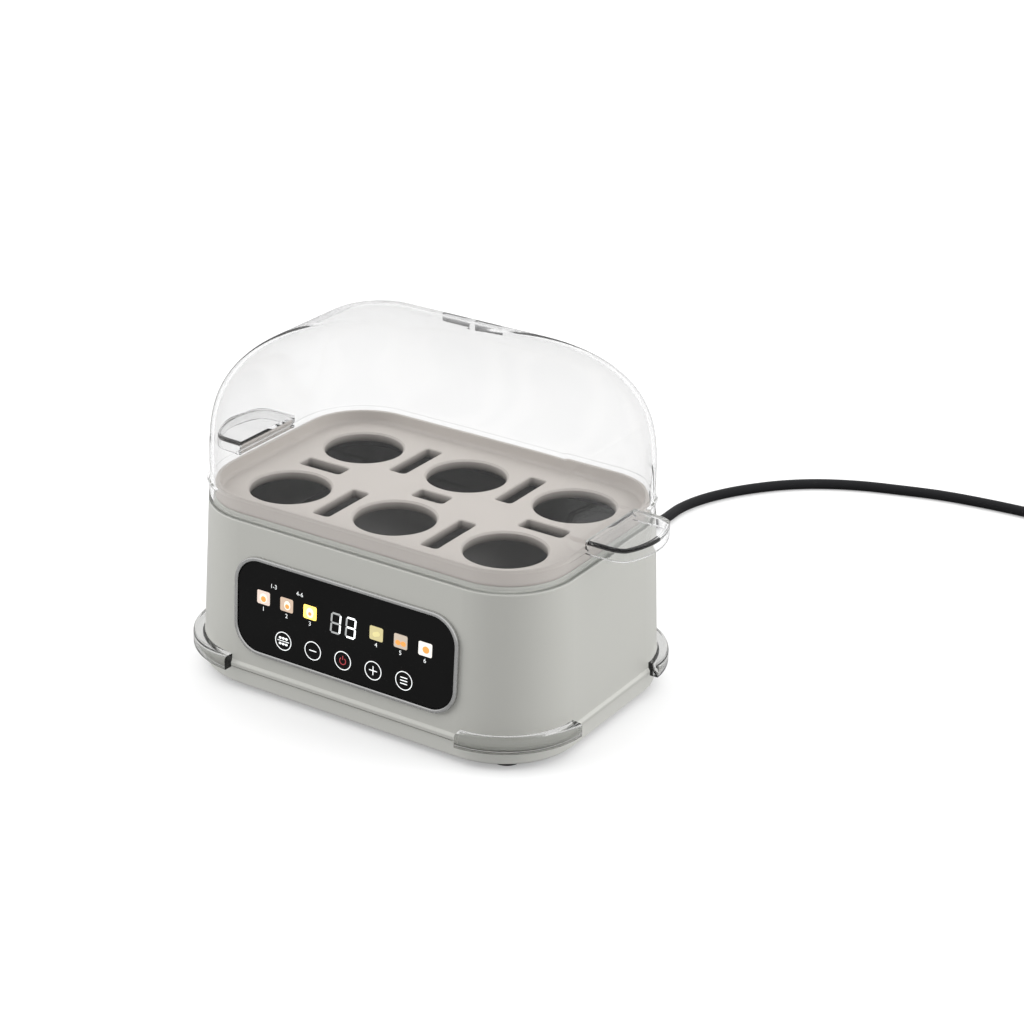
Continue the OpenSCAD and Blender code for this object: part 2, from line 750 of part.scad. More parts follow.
plug_x = coil_x + coil_r + cord_d / 2;
plug_y = coil_y + 31;
plug_w = 47;
plug_l = 44;
plug_t = 17;
pin_spacing = 22.2;
pin_t = 4;

module plug_body() {
  color(c_black) translate([plug_x, plug_y, 0]) difference() {
    union() {
      translate([0, plug_l / 2, 0]) around_plug();
      translate([0, -16, plug_t / 2]) rotate([-90, 0, 0])
        cylinder(r1 = cord_d / 2 + 1, r2 = 7, h = 20);
    }
    translate([0, -17, plug_t / 2]) rotate([-90, 0, 0]) cylinder(r = cord_d / 2 + 0.05, h = 14);
  }
}

module around_plug() {
  rounded_plate(plug_w, plug_l, 9, 1.5, plug_t);
  rounded_plate(plug_w - 3, plug_l - 3, 7.5, 0, 1.5);
}

module plug_pins() {
  color(c_brass) translate([plug_x, plug_y + 14, plug_t]) {
    for (s = [-1, 1]) translate([s * pin_spacing / 2 - 3.2, -pin_t / 2, 0]) cube([6.4, pin_t, 17.7]);
    translate([-pin_t / 2, pin_spacing - 4 - pin_t / 2, 0]) cube([pin_t, 8, 22.7]);
  }
}

// ---------- tray ----------

slot_y = 32.5;
slot_corner = 2;
slot_rim = 1.2;
outer_slot_x = 66.3;
rim_lean = 0.3;
dish_bend = 2;
tray_lip_h = 2.6;

module egg_hole_places() {
  for (i = [-1:1], s = [-1, 1]) translate([i * egg_pitch_x, s * egg_pitch_y / 2, 0]) children();
}

// All seven steam slots, grown all round by a rim, from z0 up
module steam_slots(rim, z0, h) {
  for (i = [-1, 1], s = [-1, 1])
    translate([i * egg_pitch_x / 2, s * slot_y, 0]) rotate([0, 0, 90])
      straight_slot(steam_slot_l + 2 * rim, steam_slot_w + 2 * rim, slot_corner + rim, z0, h);
  for (i = [-1:1])
    translate([i * outer_slot_x, 0, 0])
      straight_slot((i == 0 ? middle_slot_l : outer_slot_l) + 2 * rim, steam_slot_w + 2 * rim,
                    slot_corner + rim, z0, h);
}

// A dish that stands on the neck, with a locating lip inside the neck
module egg_tray() {
  floor_z = tray_floor_z;
  collar_z = floor_z - collar_h;
  wall = neck_inset + rim_lean + tray_wall;
  color(c_tray) difference() {
    union() {
      around([
        [neck_inset, neck_top], [tray_lip_in, neck_top], [tray_lip_in + 0.3, neck_top - tray_lip_h],
        [tray_lip_in + tray_wall, neck_top - tray_lip_h], [tray_lip_in + tray_wall, neck_top],
        [corner_r, neck_top], [corner_r, floor_z], [wall + 0.6 + dish_bend, floor_z],
        [wall + 0.6, floor_z + dish_bend], [wall, tray_rim_z],
        [neck_inset + rim_lean, tray_rim_z]
      ]);
      translate([-corner_x, -corner_y, neck_top]) cube([2 * corner_x, 2 * corner_y, tray_wall]);
      egg_hole_places() translate([0, 0, collar_z])
        cylinder(r = egg_hole_r + 1.6, h = collar_h - tray_wall / 2);
      steam_slots(slot_rim, collar_z, collar_h - tray_wall / 2);
    }
    egg_hole_places() {
      translate([0, 0, collar_z - 1]) cylinder(r = egg_hole_r, h = collar_h + 2);
      translate([0, 0, floor_z - 1]) cylinder(r1 = egg_hole_r, r2 = egg_hole_r + 1, h = 1.01);
    }
    steam_slots(0, collar_z - 1, collar_h + 2);
  }
}

// ---------- lid ----------

// Where the skirt ends and the rounded dome begins
spring_z = shoulder_z + 13.9;
spring_x = housing_w / 2 - draft - 0.6;
spring_y = housing_d / 2 - draft - 1.1;
spring_r = corner_r - draft - 0.7;
// How square the dome is: up its side, along its width and along its depth
rise_power = 3.4;
width_power = 2.47;
depth_power = 1.94;
radius_power = 2.12;
dome_rings = 17;
arc_steps = 10;
bead_z = shoulder_z + 10.8;

// One level of the dome, from 0 at its foot to 1 at its crown: height, half width, half depth, radius
function dome_level(t, inset) =
  let (m = max(1 - pow(t, rise_power), 0), top = crown_z - spring_z - inset)
  [spring_z + top * t, (spring_x - inset) * pow(m, 1 / width_power),
   (spring_y - inset) * pow(m, 1 / depth_power), (spring_r - inset) * pow(m, 1 / radius_power)];
function dome_levels(inset) = concat(
  [[shoulder_z, housing_w / 2 - draft - inset, housing_d / 2 - draft - inset,
    corner_r - draft - inset]],
  [for (i = [0:dome_rings]) dome_level(1 - pow(1 - i / (dome_rings + 1), 2), inset)]);

// The points of one rounded rectangle
function ring_points(level) =
  let (hx = level[1], hy = level[2], r = min(level[3], level[1], level[2]))
  [for (q = [0:3], k = [0:arc_steps])
    let (a = 90 * q + 90 * k / arc_steps, sx = (q == 0 || q == 3) ? 1 : -1, sy = q < 2 ? 1 : -1)
    [sx * (hx - r) + r * cos(a), sy * (hy - r) + r * sin(a), level[0]]];

// A thin shell between an outer and an inner stack of rounded rectangles, open at its foot
module domed_shell(outer, inner) {
  n = 4 * (arc_steps + 1);
  m = len(outer);
  points = concat([for (level = outer) each ring_points(level)],
                  [for (level = inner) each ring_points(level)]);
  polyhedron(points, concat(
    [for (i = [0:m - 2], k = [0:n - 1], half = [0, 1])
      let (a = i * n + k, b = i * n + (k + 1) % n) half == 0 ? [a, a + n, b + n] : [a, b + n, b]],
    [for (i = [0:m - 2], k = [0:n - 1], half = [0, 1])
      let (a = (m + i) * n + k, b = (m + i) * n + (k + 1) % n)
      half == 0 ? [a, b + n, a + n] : [a, b, b + n]],
    [for (k = [0:n - 1], half = [0, 1])
      let (a = k, b = (k + 1) % n) half == 0 ? [a, b, m * n + b] : [a, m * n + b, m * n + a]],
    [[for (k = [n - 1:-1:0]) (m - 1) * n + k]],
    [[for (k = [0:n - 1]) (2 * m - 1) * n + k]]
  ));
}

handle_z = shoulder_z + 16;
handle_root = spring_x - lid_wall / 2;

// A handle's plan: straight sides, round corners and a slightly curved tip, reduced by inset
module handle_plan(inset, z0, h) {
  half = handle_half_w - inset;
  tip = handle_reach - inset;
  r = handle_corner_r - inset;
  intersection() {
    translate([handle_reach - handle_tip_r, 0, z0]) cylinder(r = handle_tip_r - inset, h = h);
    union() {
      translate([handle_root, -half, z0]) cube([tip - r - handle_root, 2 * half, h]);
      translate([handle_root, r - half, z0]) cube([tip - handle_root, 2 * (half - r), h]);
      for (s = [-1, 1]) translate([tip - r, s * (half - r), z0]) cylinder(r = r, h = h);
    }
  }
}

module handle() {
  difference() {
    handle_plan(0, handle_z - handle_h, handle_h);
    translate([0, 0, -handle_t]) intersection() {
      handle_plan(handle_t, handle_z - handle_h - 1, handle_h + 1);
      translate([handle_root + 1.4, -handle_half_w, handle_z - handle_h - 1])
        cube([handle_reach, 2 * handle_half_w, handle_h + 1]);
    }
  }
}

vent_y = 34.6;
vent_drop = 24;

module lid() {
  color(c_clear) difference() {
    union() {
      domed_shell(dome_levels(0), dome_levels(lid_wall));
      around([[-bead_t + 0.6, bead_z - 0.8], [0.9, bead_z - 0.8], [0.9, bead_z + 0.8],
              [-bead_t + 0.6, bead_z + 0.8]],
             2 * spring_x, 2 * spring_y, spring_r);
      for (side = [0, 180]) rotate([0, 0, side]) handle();
    }
    for (s = [-1, 1]) translate([s * vent_pitch / 2, vent_y, 0])
      slot(vent_l, vent_w, crown_z - vent_drop, vent_drop + 5);
  }
}

// ---------- drawing ----------

base_plate();
rubber_feet();
base_screws();
housing_shell();
front_left_guard();
front_right_guard();
rear_left_guard();
rear_right_guard();
display_bezel();
display_glass();
display_carrier();
carrier_screws();
touch_board();
touch_pads();
digit_module();
icon_light_boxes();
power_board();
power_relay();
filter_capacitor();
terminal_block();
board_screws();
heating_pan();
pan_seal();
heating_element();
element_terminals();
heat_shield();
shield_studs();
thermostat();
thermostat_clip();
thermal_fuse();
strain_relief();
cord_clamp();
clamp_screws();
power_cord();
cord_coil();
plug_body();
plug_pins();
egg_tray();
lid();
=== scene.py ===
# %% [markdown]
# # An egg cooker, piece by piece
# This lesson dresses an egg cooker that is already made as solids: a drafted housing with a touch
# display, a tray with six egg holes, a clear domed lid and a mains cord. Each step says what a
# piece is on the real product, how it could be made, and why one way was chosen.

# %% Load the frame and note its box
import json
import math
from contextlib import contextmanager

import bmesh
import bpy
import numpy as np
from mathutils import Matrix, Vector
from mathutils.geometry import delaunay_2d_cdt


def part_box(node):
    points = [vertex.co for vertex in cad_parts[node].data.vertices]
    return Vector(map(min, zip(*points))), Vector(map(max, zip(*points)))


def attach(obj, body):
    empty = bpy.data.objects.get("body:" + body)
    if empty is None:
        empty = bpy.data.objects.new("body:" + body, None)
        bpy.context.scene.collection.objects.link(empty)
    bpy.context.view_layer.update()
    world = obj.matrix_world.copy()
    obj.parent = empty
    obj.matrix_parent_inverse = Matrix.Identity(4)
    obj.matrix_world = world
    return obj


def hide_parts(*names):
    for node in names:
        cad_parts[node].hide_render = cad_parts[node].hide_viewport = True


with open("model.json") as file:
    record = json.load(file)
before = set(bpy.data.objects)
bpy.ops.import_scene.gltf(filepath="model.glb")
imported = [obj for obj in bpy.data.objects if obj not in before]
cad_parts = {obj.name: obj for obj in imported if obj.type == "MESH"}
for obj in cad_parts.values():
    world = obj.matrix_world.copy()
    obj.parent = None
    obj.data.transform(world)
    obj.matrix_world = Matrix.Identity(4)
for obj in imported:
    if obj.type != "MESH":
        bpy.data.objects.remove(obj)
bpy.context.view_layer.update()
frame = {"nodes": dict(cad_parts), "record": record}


def placed(name, data):
    """A new object that shows this data, linked into the scene."""
    thing = bpy.data.objects.new(name, data)
    bpy.context.scene.collection.objects.link(thing)
    return thing


# %% [markdown]
# ## Driving sizes
# Sizes are in millimetres, and become metres only when a mesh is made. The housing's outline is
# read from the frame. The rest are wall thicknesses and radii that the solids share.

# %% The sizes that the pieces share
MM = 0.001
low, high = (np.array(corner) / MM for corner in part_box("housing_shell"))
foot_step, step_h = 0.8, 3.5
housing_w, housing_d = high[0] - low[0] - 2 * foot_step, high[1] - low[1] - 2 * foot_step
seam_z, neck_top = low[2], high[2]
step_z = seam_z + step_h
corner_r, draft, shoulder_z = 41.0, 3.9, neck_top - 2.3
housing_wall, neck_wall = 2.6, 2.2
lid_wall, lid_gap = 2.2, 1.2
neck_inset = draft + lid_wall + lid_gap
slope = draft / (shoulder_z - seam_z)
draft_angle = math.atan(slope)
print(f"housing {housing_w:.1f} x {housing_d:.1f} mm, from {seam_z:.1f} up to {shoulder_z:.1f}")


def lean(z):
    """How far the wall has leaned in at height z: the slope times the height above the seam."""
    return slope * (z - seam_z)


# %% [markdown]
# ## The camera
# The camera stands to the right of the front and looks slightly down with a long lens, turned by
# about a degree. The point it looks at, two angles and a distance describe it, because those are
# the numbers one would use when placing a tripod.

# %% Place the camera
camera_aim, camera_distance = Vector((47.4, 0.0, 99.6)) * MM, 1242.4 * MM
camera_azimuth, camera_elevation, camera_roll = 32.12, 24.1, 1.4
camera = placed("camera", bpy.data.cameras.new("camera"))
camera.data.lens, camera.data.sensor_width = 89.39, 36.0
tripod = Matrix.Identity(3)
for degrees, axis in ((camera_azimuth, "Z"), (90 - camera_elevation, "X"), (camera_roll, "Z")):
    tripod @= Matrix.Rotation(math.radians(degrees), 3, axis)
camera.matrix_world = tripod.to_4x4()
camera.location = camera_aim + tripod.col[2] * camera_distance
bpy.context.scene.camera = camera
print("camera at", [round(c, 3) for c in camera.location])

# %% [markdown]
# ## Shader maths as plain expressions
# A material is a graph of nodes, and wiring one by hand hides the idea. Here a small class wraps a
# socket so that `1 - mask * 0.3` adds the Math nodes by itself. A second class owns one material
# and has a single method that makes any other node.

# %% A shader value
class Value:
    """A shader value that takes part in Python arithmetic."""

    def __init__(self, paint, socket):
        self.paint, self.socket = paint, socket

    def math(self, operation, first, second):
        """Adds a Math node that works on two Values or numbers."""
        return self.paint.add("ShaderNodeMath", {0: first, 1: second}, operation=operation)

    def __add__(self, other): return self.math("ADD", self, other)
    def __sub__(self, other): return self.math("SUBTRACT", self, other)
    def __mul__(self, other): return self.math("MULTIPLY", self, other)
    def __pow__(self, other): return self.math("POWER", self, other)
    def __rsub__(self, other): return self.math("SUBTRACT", other, self)
    __radd__ = __add__
    __rmul__ = __mul__


# %% A material
class Paint:
    """One material, whose Principled shader takes numbers, colours and Values."""

    def __init__(self, name, **surface):
        self.material = bpy.data.materials.new(name)
        self.material.use_nodes = True
        self.tree = self.material.node_tree
        self.shader = self.tree.nodes["Principled BSDF"]
        self.surface(**surface)

    def put(self, socket, value):
        """Links a Value, or sets a number or a colour."""
        if isinstance(value, Value):
            self.tree.links.new(value.socket, socket)
        else:
            socket.default_value = value

    def add(self, kind, inputs=(), out=0, **settings):
        """Adds one node: its settings are set first, then its inputs, and one output comes back."""
        node = self.tree.nodes.new(kind)
        for name, value in settings.items():
            if name == "stops":
                for stop, (place, colour) in zip(node.color_ramp.elements, value):
                    stop.position, stop.color = place, colour
            else:
                setattr(node, name, value)
        for name, value in dict(inputs).items():
            self.put(node.inputs[name], value)
        return Value(self, node.outputs[out])

    def surface(self, **values):
        """Sets the shader's sockets, with a space for each underscore, as Base Color for
        Base_Color, and returns the material."""
        for name, value in values.items():
            self.put(self.shader.inputs[name.replace("_", " ")], value)
        return self.material

    def place(self, scale=(1, 1, 1)):
        """Object coordinates, stretched by scale."""
        spot = self.add("ShaderNodeTexCoord", out=3)
        return self.add("ShaderNodeMapping", {"Vector": spot, "Scale": scale})

    def noise(self, scale, detail=2.0, stretch=(1, 1, 1)):
        """A cloudy pattern from 0 to 1, with scale cells to the metre."""
        spots = {"Vector": self.place(stretch), "Scale": scale, "Detail": detail}
        return self.add("ShaderNodeTexNoise", spots)

    def blend(self, share, first, second):
        """A colour between two others."""
        colours = {0: share, 6: first, 7: second}
        return self.add("ShaderNodeMix", colours, out=2, data_type="RGBA")

    def tones(self, share, colour, dark, light):
        """A colour that goes from dark times itself to light times itself."""
        return self.blend(share, shade(colour, dark), shade(colour, light))

    def bump(self, height, strength, depth):
        """A normal that tilts with height. depth is in millimetres."""
        return self.add("ShaderNodeBump", {"Height": height, "Strength": strength,
                                           "Distance": depth * MM})

    def mixed(self, share, other):
        """Shows another plain surface by this share, and returns the finished material."""
        own = Value(self, self.shader.outputs[0])
        look = self.add("ShaderNodeMixShader", {0: share, 1: own, 2: other})
        self.put(self.tree.nodes["Material Output"].inputs["Surface"], look)
        return self.material


def shade(colour, factor=1.0):
    """A colour with its alpha, darkened or lightened by a factor."""
    return (*(min(c * factor, 1.0) for c in colour), 1.0)


def grey(level):
    """A colour with three equal parts."""
    return level, level, level


# %% [markdown]
# ## The finishes
# Real moulded plastic is never one flat colour. The housing's pearl paint carries a fine flake and
# a faint orange peel, the tray is a matt spark-eroded texture with painted shade down the walls of
# its holes, and the pan is painted near black as painted shade for the dark inside of the cooker,
# with a fine speckle and a haze left by boiled water. Each finish gets that detail at its real
# scale, in roughness and bump as much as in colour, because the highlights tell materials apart.

# %% Housing, tray and rubber
def pearl_paint(name, colour):
    """Satin pearl grey: fine flake in the colour, soft orange peel in the bump."""
    paint = Paint(name, Metallic=0.12, Coat_Weight=0.25, Coat_Roughness=0.28)
    flake, cloud, peel = paint.noise(2600), paint.noise(14), paint.noise(420, 1.5)
    return paint.surface(
        Base_Color=paint.tones(flake * 0.5 + cloud * 0.5, colour, 0.965, 1.035),
        Roughness=0.37 + (cloud - 0.5) * 0.05 + (flake - 0.5) * 0.04,
        Normal=paint.bump(peel * 0.8 + flake * 0.2, 0.25, 0.03))


def tray_plastic():
    """Matt warm grey with a spark-eroded grain, and painted shade down the walls of its holes."""
    paint = Paint("tray_plastic")
    grain, cloud = paint.noise(1500, 3.0), paint.noise(22)
    height = paint.add("ShaderNodeSeparateXYZ", {"Vector": paint.place()}, out=2)
    # Painted shade: from the tray's floor down, the hole walls blend to near black, for the shade
    # inside the holes.
    depth = paint.add("ShaderNodeMapRange", {
        "Value": height, "From Min": (neck_top - 2.5) * MM, "From Max": (neck_top + 1.6) * MM})
    face = paint.tones(cloud * 0.6 + grain * 0.4, (0.442, 0.407, 0.380), 0.965, 1.03)
    return paint.surface(
        Base_Color=paint.blend(depth, shade((0.080, 0.070, 0.062)), face),
        Roughness=0.46 + (grain - 0.5) * 0.16,
        Normal=paint.bump(grain, 0.35, 0.05))


def rubber(name, colour, roughness=0.62, grain_scale=1800, gloss=0.5):
    """Dull rubber or soft PVC with a fine skin."""
    paint = Paint(name, Specular_IOR_Level=gloss)
    grain, worn = paint.noise(grain_scale, 3.0), paint.noise(60, 3.0)
    return paint.surface(
        Base_Color=paint.tones(worn, colour, 0.8, 1.25),
        Roughness=roughness + (grain - 0.5) * 0.2 - (worn - 0.5) * 0.1,
        Normal=paint.bump(grain, 0.3, 0.05))


# %% Clear plastic and glass
def clear_plastic(name, tint, edge_tint, ior, gloss=0.0, roughness=0.02):
    """Polished clear plastic, greyer where it is seen edge on. Shadow rays pass it, as light does
    through a thin shell. A low IOR under a glossy coat stands for a thin wall, which reflects but
    hardly bends what lies behind it. The coat fades towards the rim, where it would turn white."""
    paint = Paint(name, IOR=ior, Transmission_Weight=1.0, Coat_Roughness=0.02)
    facing = paint.add("ShaderNodeLayerWeight", {"Blend": 0.5}, out=1)
    paint.surface(Base_Color=paint.blend(facing ** 2, shade(tint), shade(edge_tint)),
                  Roughness=roughness + paint.noise(35) * 0.015)
    if gloss:
        paint.surface(Coat_Weight=gloss - facing ** 2 * (gloss * 0.9))
    through = paint.add("ShaderNodeBsdfTransparent", {"Color": shade((0.93, 0.94, 0.94))})
    return paint.mixed(paint.add("ShaderNodeLightPath", out=1), through)


def black_glass():
    """Gloss black glass with the faintest polish haze."""
    paint = Paint("black_glass", IOR=1.52, Specular_IOR_Level=0.08)
    haze = paint.noise(30, 3.0)
    return paint.surface(
        Base_Color=paint.blend(haze, shade(grey(0.005)), shade(grey(0.008))),
        Roughness=0.07 + haze * 0.05)


# %% Metal, moulded plastic and print
def metal(name, colour, roughness, brush=(1, 1, 1), marks=260):
    """Metal with brush marks drawn out along the axis whose stretch is smallest."""
    paint = Paint(name, Metallic=1.0)
    lines, cloud = paint.noise(marks, 3.0, brush), paint.noise(26, 3.0)
    return paint.surface(
        Base_Color=paint.tones(lines * 0.6 + cloud * 0.4, colour, 0.86, 1.08),
        Roughness=roughness + (lines - 0.5) * 0.14 + (cloud - 0.5) * 0.08,
        Normal=paint.bump(lines, 0.3, 0.01))


def shade_dark_boiled_pan():
    """A pan painted near black as painted shade for the dark inside of the cooker, with a fine
    speckle and faint rings of boiled water.
    """
    paint = Paint("shade_dark_boiled_pan", Metallic=0.3)
    speckle, stops = paint.noise(900), [(0.50, shade(grey(0.0))), (0.72, shade(grey(1.0)))]
    marks = paint.add("ShaderNodeValToRGB", {"Fac": paint.noise(30, 4.0)}, stops=stops)
    spots = paint.add("ShaderNodeRGBToBW", {"Color": marks})
    # Painted shade: this near-black base colour stands in for the shade inside the closed cooker.
    coat = paint.blend(speckle, shade((0.020, 0.019, 0.018)), shade((0.042, 0.040, 0.038)))
    return paint.surface(
        Base_Color=paint.blend(spots * 0.35, coat, shade((0.16, 0.155, 0.145))),
        Roughness=0.30 + (speckle - 0.5) * 0.12 + spots * 0.25,
        Normal=paint.bump(speckle, 0.3, 0.02))


def moulded(name, colour, roughness=0.45):
    """Plain moulded plastic with a light grain."""
    paint = Paint(name)
    grain = paint.noise(1400)
    return paint.surface(
        Base_Color=paint.tones(paint.noise(40), colour, 0.92, 1.06),
        Roughness=roughness + (grain - 0.5) * 0.14,
        Normal=paint.bump(grain, 0.2, 0.03))


def printed_light(name, colour, glow):
    """A printed symbol lit from behind, a little uneven as a light box is."""
    paint = Paint(name, Base_Color=shade(colour, 0.8), Roughness=0.3, Emission_Strength=glow)
    return paint.surface(Emission_Color=paint.tones(paint.noise(240, 1.0), colour, 0.86, 1.0))


# %% The table of finishes
finishes = {"tray_plastic": tray_plastic(), "black_glass": black_glass(), "pan_steel": shade_dark_boiled_pan()}
for make, name, *look in (
        (pearl_paint, "satin_housing", (0.500, 0.500, 0.468)),
        # Painted light: the base's paint is the housing's pearl paint made lighter, for the floor's
        # reflection on it.
        (pearl_paint, "satin_base", (0.585, 0.585, 0.551)),
        (clear_plastic, "clear_plastic", grey(0.89), grey(0.74), 1.06, 0.55),
        (clear_plastic, "handle_plastic", grey(0.94), grey(0.84), 1.45),
        (clear_plastic, "guard_plastic", (0.66, 0.66, 0.65), (0.48, 0.48, 0.47), 1.42, 0.0, 0.05),
        # Painted shade: this near-black finish colours the vent walls and the corner inside each
        # handle's lip.
        (moulded, "dark_edge", grey(0.008), 0.5),
        (moulded, "black_plastic", (0.035, 0.035, 0.036)),
        (moulded, "white_plastic", (0.78, 0.78, 0.75)),
        (moulded, "blue_plastic", (0.05, 0.14, 0.38), 0.3),
        (moulded, "circuit_board", (0.03, 0.20, 0.09), 0.28),
        (rubber, "foot_rubber", grey(0.020), 0.7),
        (rubber, "seal_rubber", (0.62, 0.60, 0.57), 0.5),
        (rubber, "cord_rubber", (0.009, 0.009, 0.010), 0.5, 900, 0.15),
        (metal, "bright_bezel", (0.56, 0.56, 0.555), 0.26, (1, 1, 0.2), 500),
        (metal, "screw_steel", (0.50, 0.50, 0.51), 0.34),
        (metal, "brass_parts", (0.66, 0.50, 0.22), 0.28)):
    finishes[name] = make(name, *look)
print(len(finishes), "finishes")

# %% [markdown]
# ## From arrays to meshes
# Nearly every piece here is a section carried round a closed plan, so the whole surface is one grid
# of points, worked out as one array, and its faces follow from the row and column numbers. Sharp
# edges are marked by angle, and normals are weighted by face area, so flat walls stay flat beside
# their rounded edges.

# %% Grids and meshes
def grid_part(points, close_rows=False, close_columns=True, caps=False):
    """A grid of points, rows by columns by three, as points and the four-sided faces between its
    neighbours. caps puts a face over each of the two ends that stay open."""
    rows, columns = points.shape[:2]
    spots = np.arange(rows * columns).reshape(rows, columns)
    ahead, below = np.roll(spots, -1, axis=1), np.roll(spots, -1, axis=0)
    quads = np.stack([spots, ahead, np.roll(ahead, -1, axis=0), below], axis=-1)
    quads = quads[:rows if close_rows else -1, :columns if close_columns else -1]
    faces = quads.reshape(-1, 4).tolist()
    if caps:
        faces += (spots[[0, -1]] if close_columns else spots[:, [0, -1]].T).tolist()
    return points.reshape(-1, 3), faces


@contextmanager
def edited(mesh):
    """Lends a mesh's faces and edges to a with block, and writes them back after it."""
    shape = bmesh.new()
    shape.from_mesh(mesh)
    yield shape
    shape.to_mesh(mesh)
    shape.free()


def plain_mesh(name, parts):
    """A mesh in metres from parts in millimetres. A part is a pair of points and faces, and each
    part's faces count on from the last."""
    points, faces, count = [], [], 0
    for part_points, part_faces in parts:
        points.append(np.asarray(part_points, float))
        faces += [[i + count for i in face] for face in part_faces]
        count += len(part_points)
    mesh = bpy.data.meshes.new(name)
    mesh.from_pydata((np.concatenate(points) * MM).tolist(), [], faces)
    return mesh


def raw_mesh(name, parts):
    """A mesh with its doubles merged and its faces pointing outwards."""
    mesh = plain_mesh(name, parts)
    with edited(mesh) as shape:
        bmesh.ops.remove_doubles(shape, verts=shape.verts, dist=0.004 * MM)
        bmesh.ops.dissolve_degenerate(shape, edges=shape.edges, dist=0.002 * MM)
        bmesh.ops.recalc_face_normals(shape, faces=shape.faces)
    return mesh


# %% Finished pieces
SHARP = math.radians(38)


def vectors(things, name):
    """One vector of each vertex or face, as rows of three."""
    values = np.empty(len(things) * 3)
    things.foreach_get(name, values)
    return values.reshape(-1, 3)


def piece(mesh, body, finish, stands_for=(), angle=SHARP, even=True):
    """A finished object that rides on its body. Its faces are smooth, and the edges that turn by
    more than angle are kept sharp."""
    with edited(mesh) as shape:
        for face in shape.faces:
            face.smooth = True
        for edge in shape.edges:
            edge.smooth = edge.calc_face_angle(0.0) < angle
    thing = placed(mesh.name, mesh)
    mesh.materials.clear()
    mesh.materials.append(finishes[finish])
    if even:
        weighting = thing.modifiers.new("even_shading", "WEIGHTED_NORMAL")
        weighting.keep_sharp = True
    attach(thing, body)
    if stands_for:
        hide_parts(*stands_for)
    return thing


# %% Rounded sections
def around(angles):
    """Unit vectors at these angles, which are in radians."""
    return np.stack([np.cos(angles), np.sin(angles)], axis=1)


def rounded(section, closed=False, support=0.12, steps=5):
    """A section whose corners are arcs. Each entry is (inset, height, radius); a radius of 0 stays
    sharp. A corner of turn t and radius r starts r * tan(t / 2) before the corner, and a support
    point stands just outside each end of the arc so that the walls beside it shade flat."""
    spots = np.array([entry[:2] for entry in section], float)
    line = []
    for i, (spot, (*_, radius)) in enumerate(zip(spots, section)):
        if radius <= 0 or not (closed or 0 < i < len(spots) - 1):
            line.append(spot)
            continue
        back = spots[i - 1] - spot
        ahead = spots[(i + 1) % len(spots)] - spot
        back_l, ahead_l = np.linalg.norm(back), np.linalg.norm(ahead)
        back, ahead = back / back_l, ahead / ahead_l
        half = math.acos(np.clip(back @ ahead, -1, 1)) / 2
        reach = min(radius / math.tan(half), 0.45 * back_l, 0.45 * ahead_l)
        radius = reach * math.tan(half)
        middle = spot + (back + ahead) / np.linalg.norm(back + ahead) * (radius / math.sin(half))
        start, end = spot + back * reach - middle, spot + ahead * reach - middle
        turn = math.atan2(start[0] * end[1] - start[1] * end[0], start @ end)
        swing = around(np.linspace(0, turn, steps + 1))
        arc = middle + swing[:, :1] * start + swing[:, 1:] * np.array([-start[1], start[0]])
        line.append(arc[0] + back * min(support, 0.04 * back_l + 0.02))
        line.extend(arc)
        line.append(arc[-1] + ahead * min(support, 0.04 * ahead_l + 0.02))
    return np.array(line)


# %% Plans to carry a section round
def corner_signs(count):
    """The signs of x and y at the four corners, with count points to a corner."""
    return np.repeat([1, -1, -1, 1], count), np.repeat([1, 1, -1, -1], count)


def rect_plan(width, depth, radius, steps=14, support=0.6, at=(0, 0)):
    """A rounded rectangle about a point, as corner centres and outward directions. The centres
    shift a little at each end of an arc, to put a support point on the straight just past it."""
    angles = np.concatenate([[0], np.linspace(0, 90, steps + 1), [90]])
    out = around(np.radians(np.concatenate([q * 90 + angles for q in range(4)])))
    shifts = np.tile(np.concatenate([[-support], np.zeros(steps + 1), [support]]), 4)
    sign_x, sign_y = corner_signs(steps + 3)
    centre = np.stack([sign_x * (width / 2 - radius), sign_y * (depth / 2 - radius)], axis=1)
    centre = centre + shifts[:, None] * np.stack([-out[:, 1], out[:, 0]], axis=1)
    return centre + np.array(at), out, radius


def capsule_plan(x, y, length, width, steps=16):
    """A slot with round ends, or a circle when its length is its width, about (x, y)."""
    out = around(np.linspace(0, 2 * np.pi, 4 * steps, endpoint=False) + np.pi / (4 * steps))
    centre = np.zeros_like(out)
    centre[:, 0] = (length - width) / 2 * np.sign(out[:, 0])
    return centre + np.array([x, y]), out, width / 2


def carried(section, plan):
    """The surface of a section round a plan: point = centre + (radius - inset) * outward."""
    centre, out, radius = plan
    spots = centre + (radius - section[:, 0, None, None]) * out
    return np.dstack([spots, np.broadcast_to(section[:, 1, None], spots.shape[:2])])


def ring_at(plan, inset):
    """One closed line of a plan, as flat points."""
    centre, out, radius = plan
    return centre + (radius - inset) * out


# %% Flat sheets with holes
def inside(points, loop):
    """Which points lie in a closed line: an odd number of its edges pass to their right."""
    x, y = points[:, :1], points[:, 1:]
    a, b = np.asarray(loop), np.roll(loop, -1, axis=0)
    crosses = (a[:, 1] > y) != (b[:, 1] > y)
    run, rise = (b - a).T
    at = a[:, 0] + (y - a[:, 1]) / np.where(rise == 0, 1e-12, rise) * run
    return (crosses & (x < at)).sum(axis=1) % 2 == 1


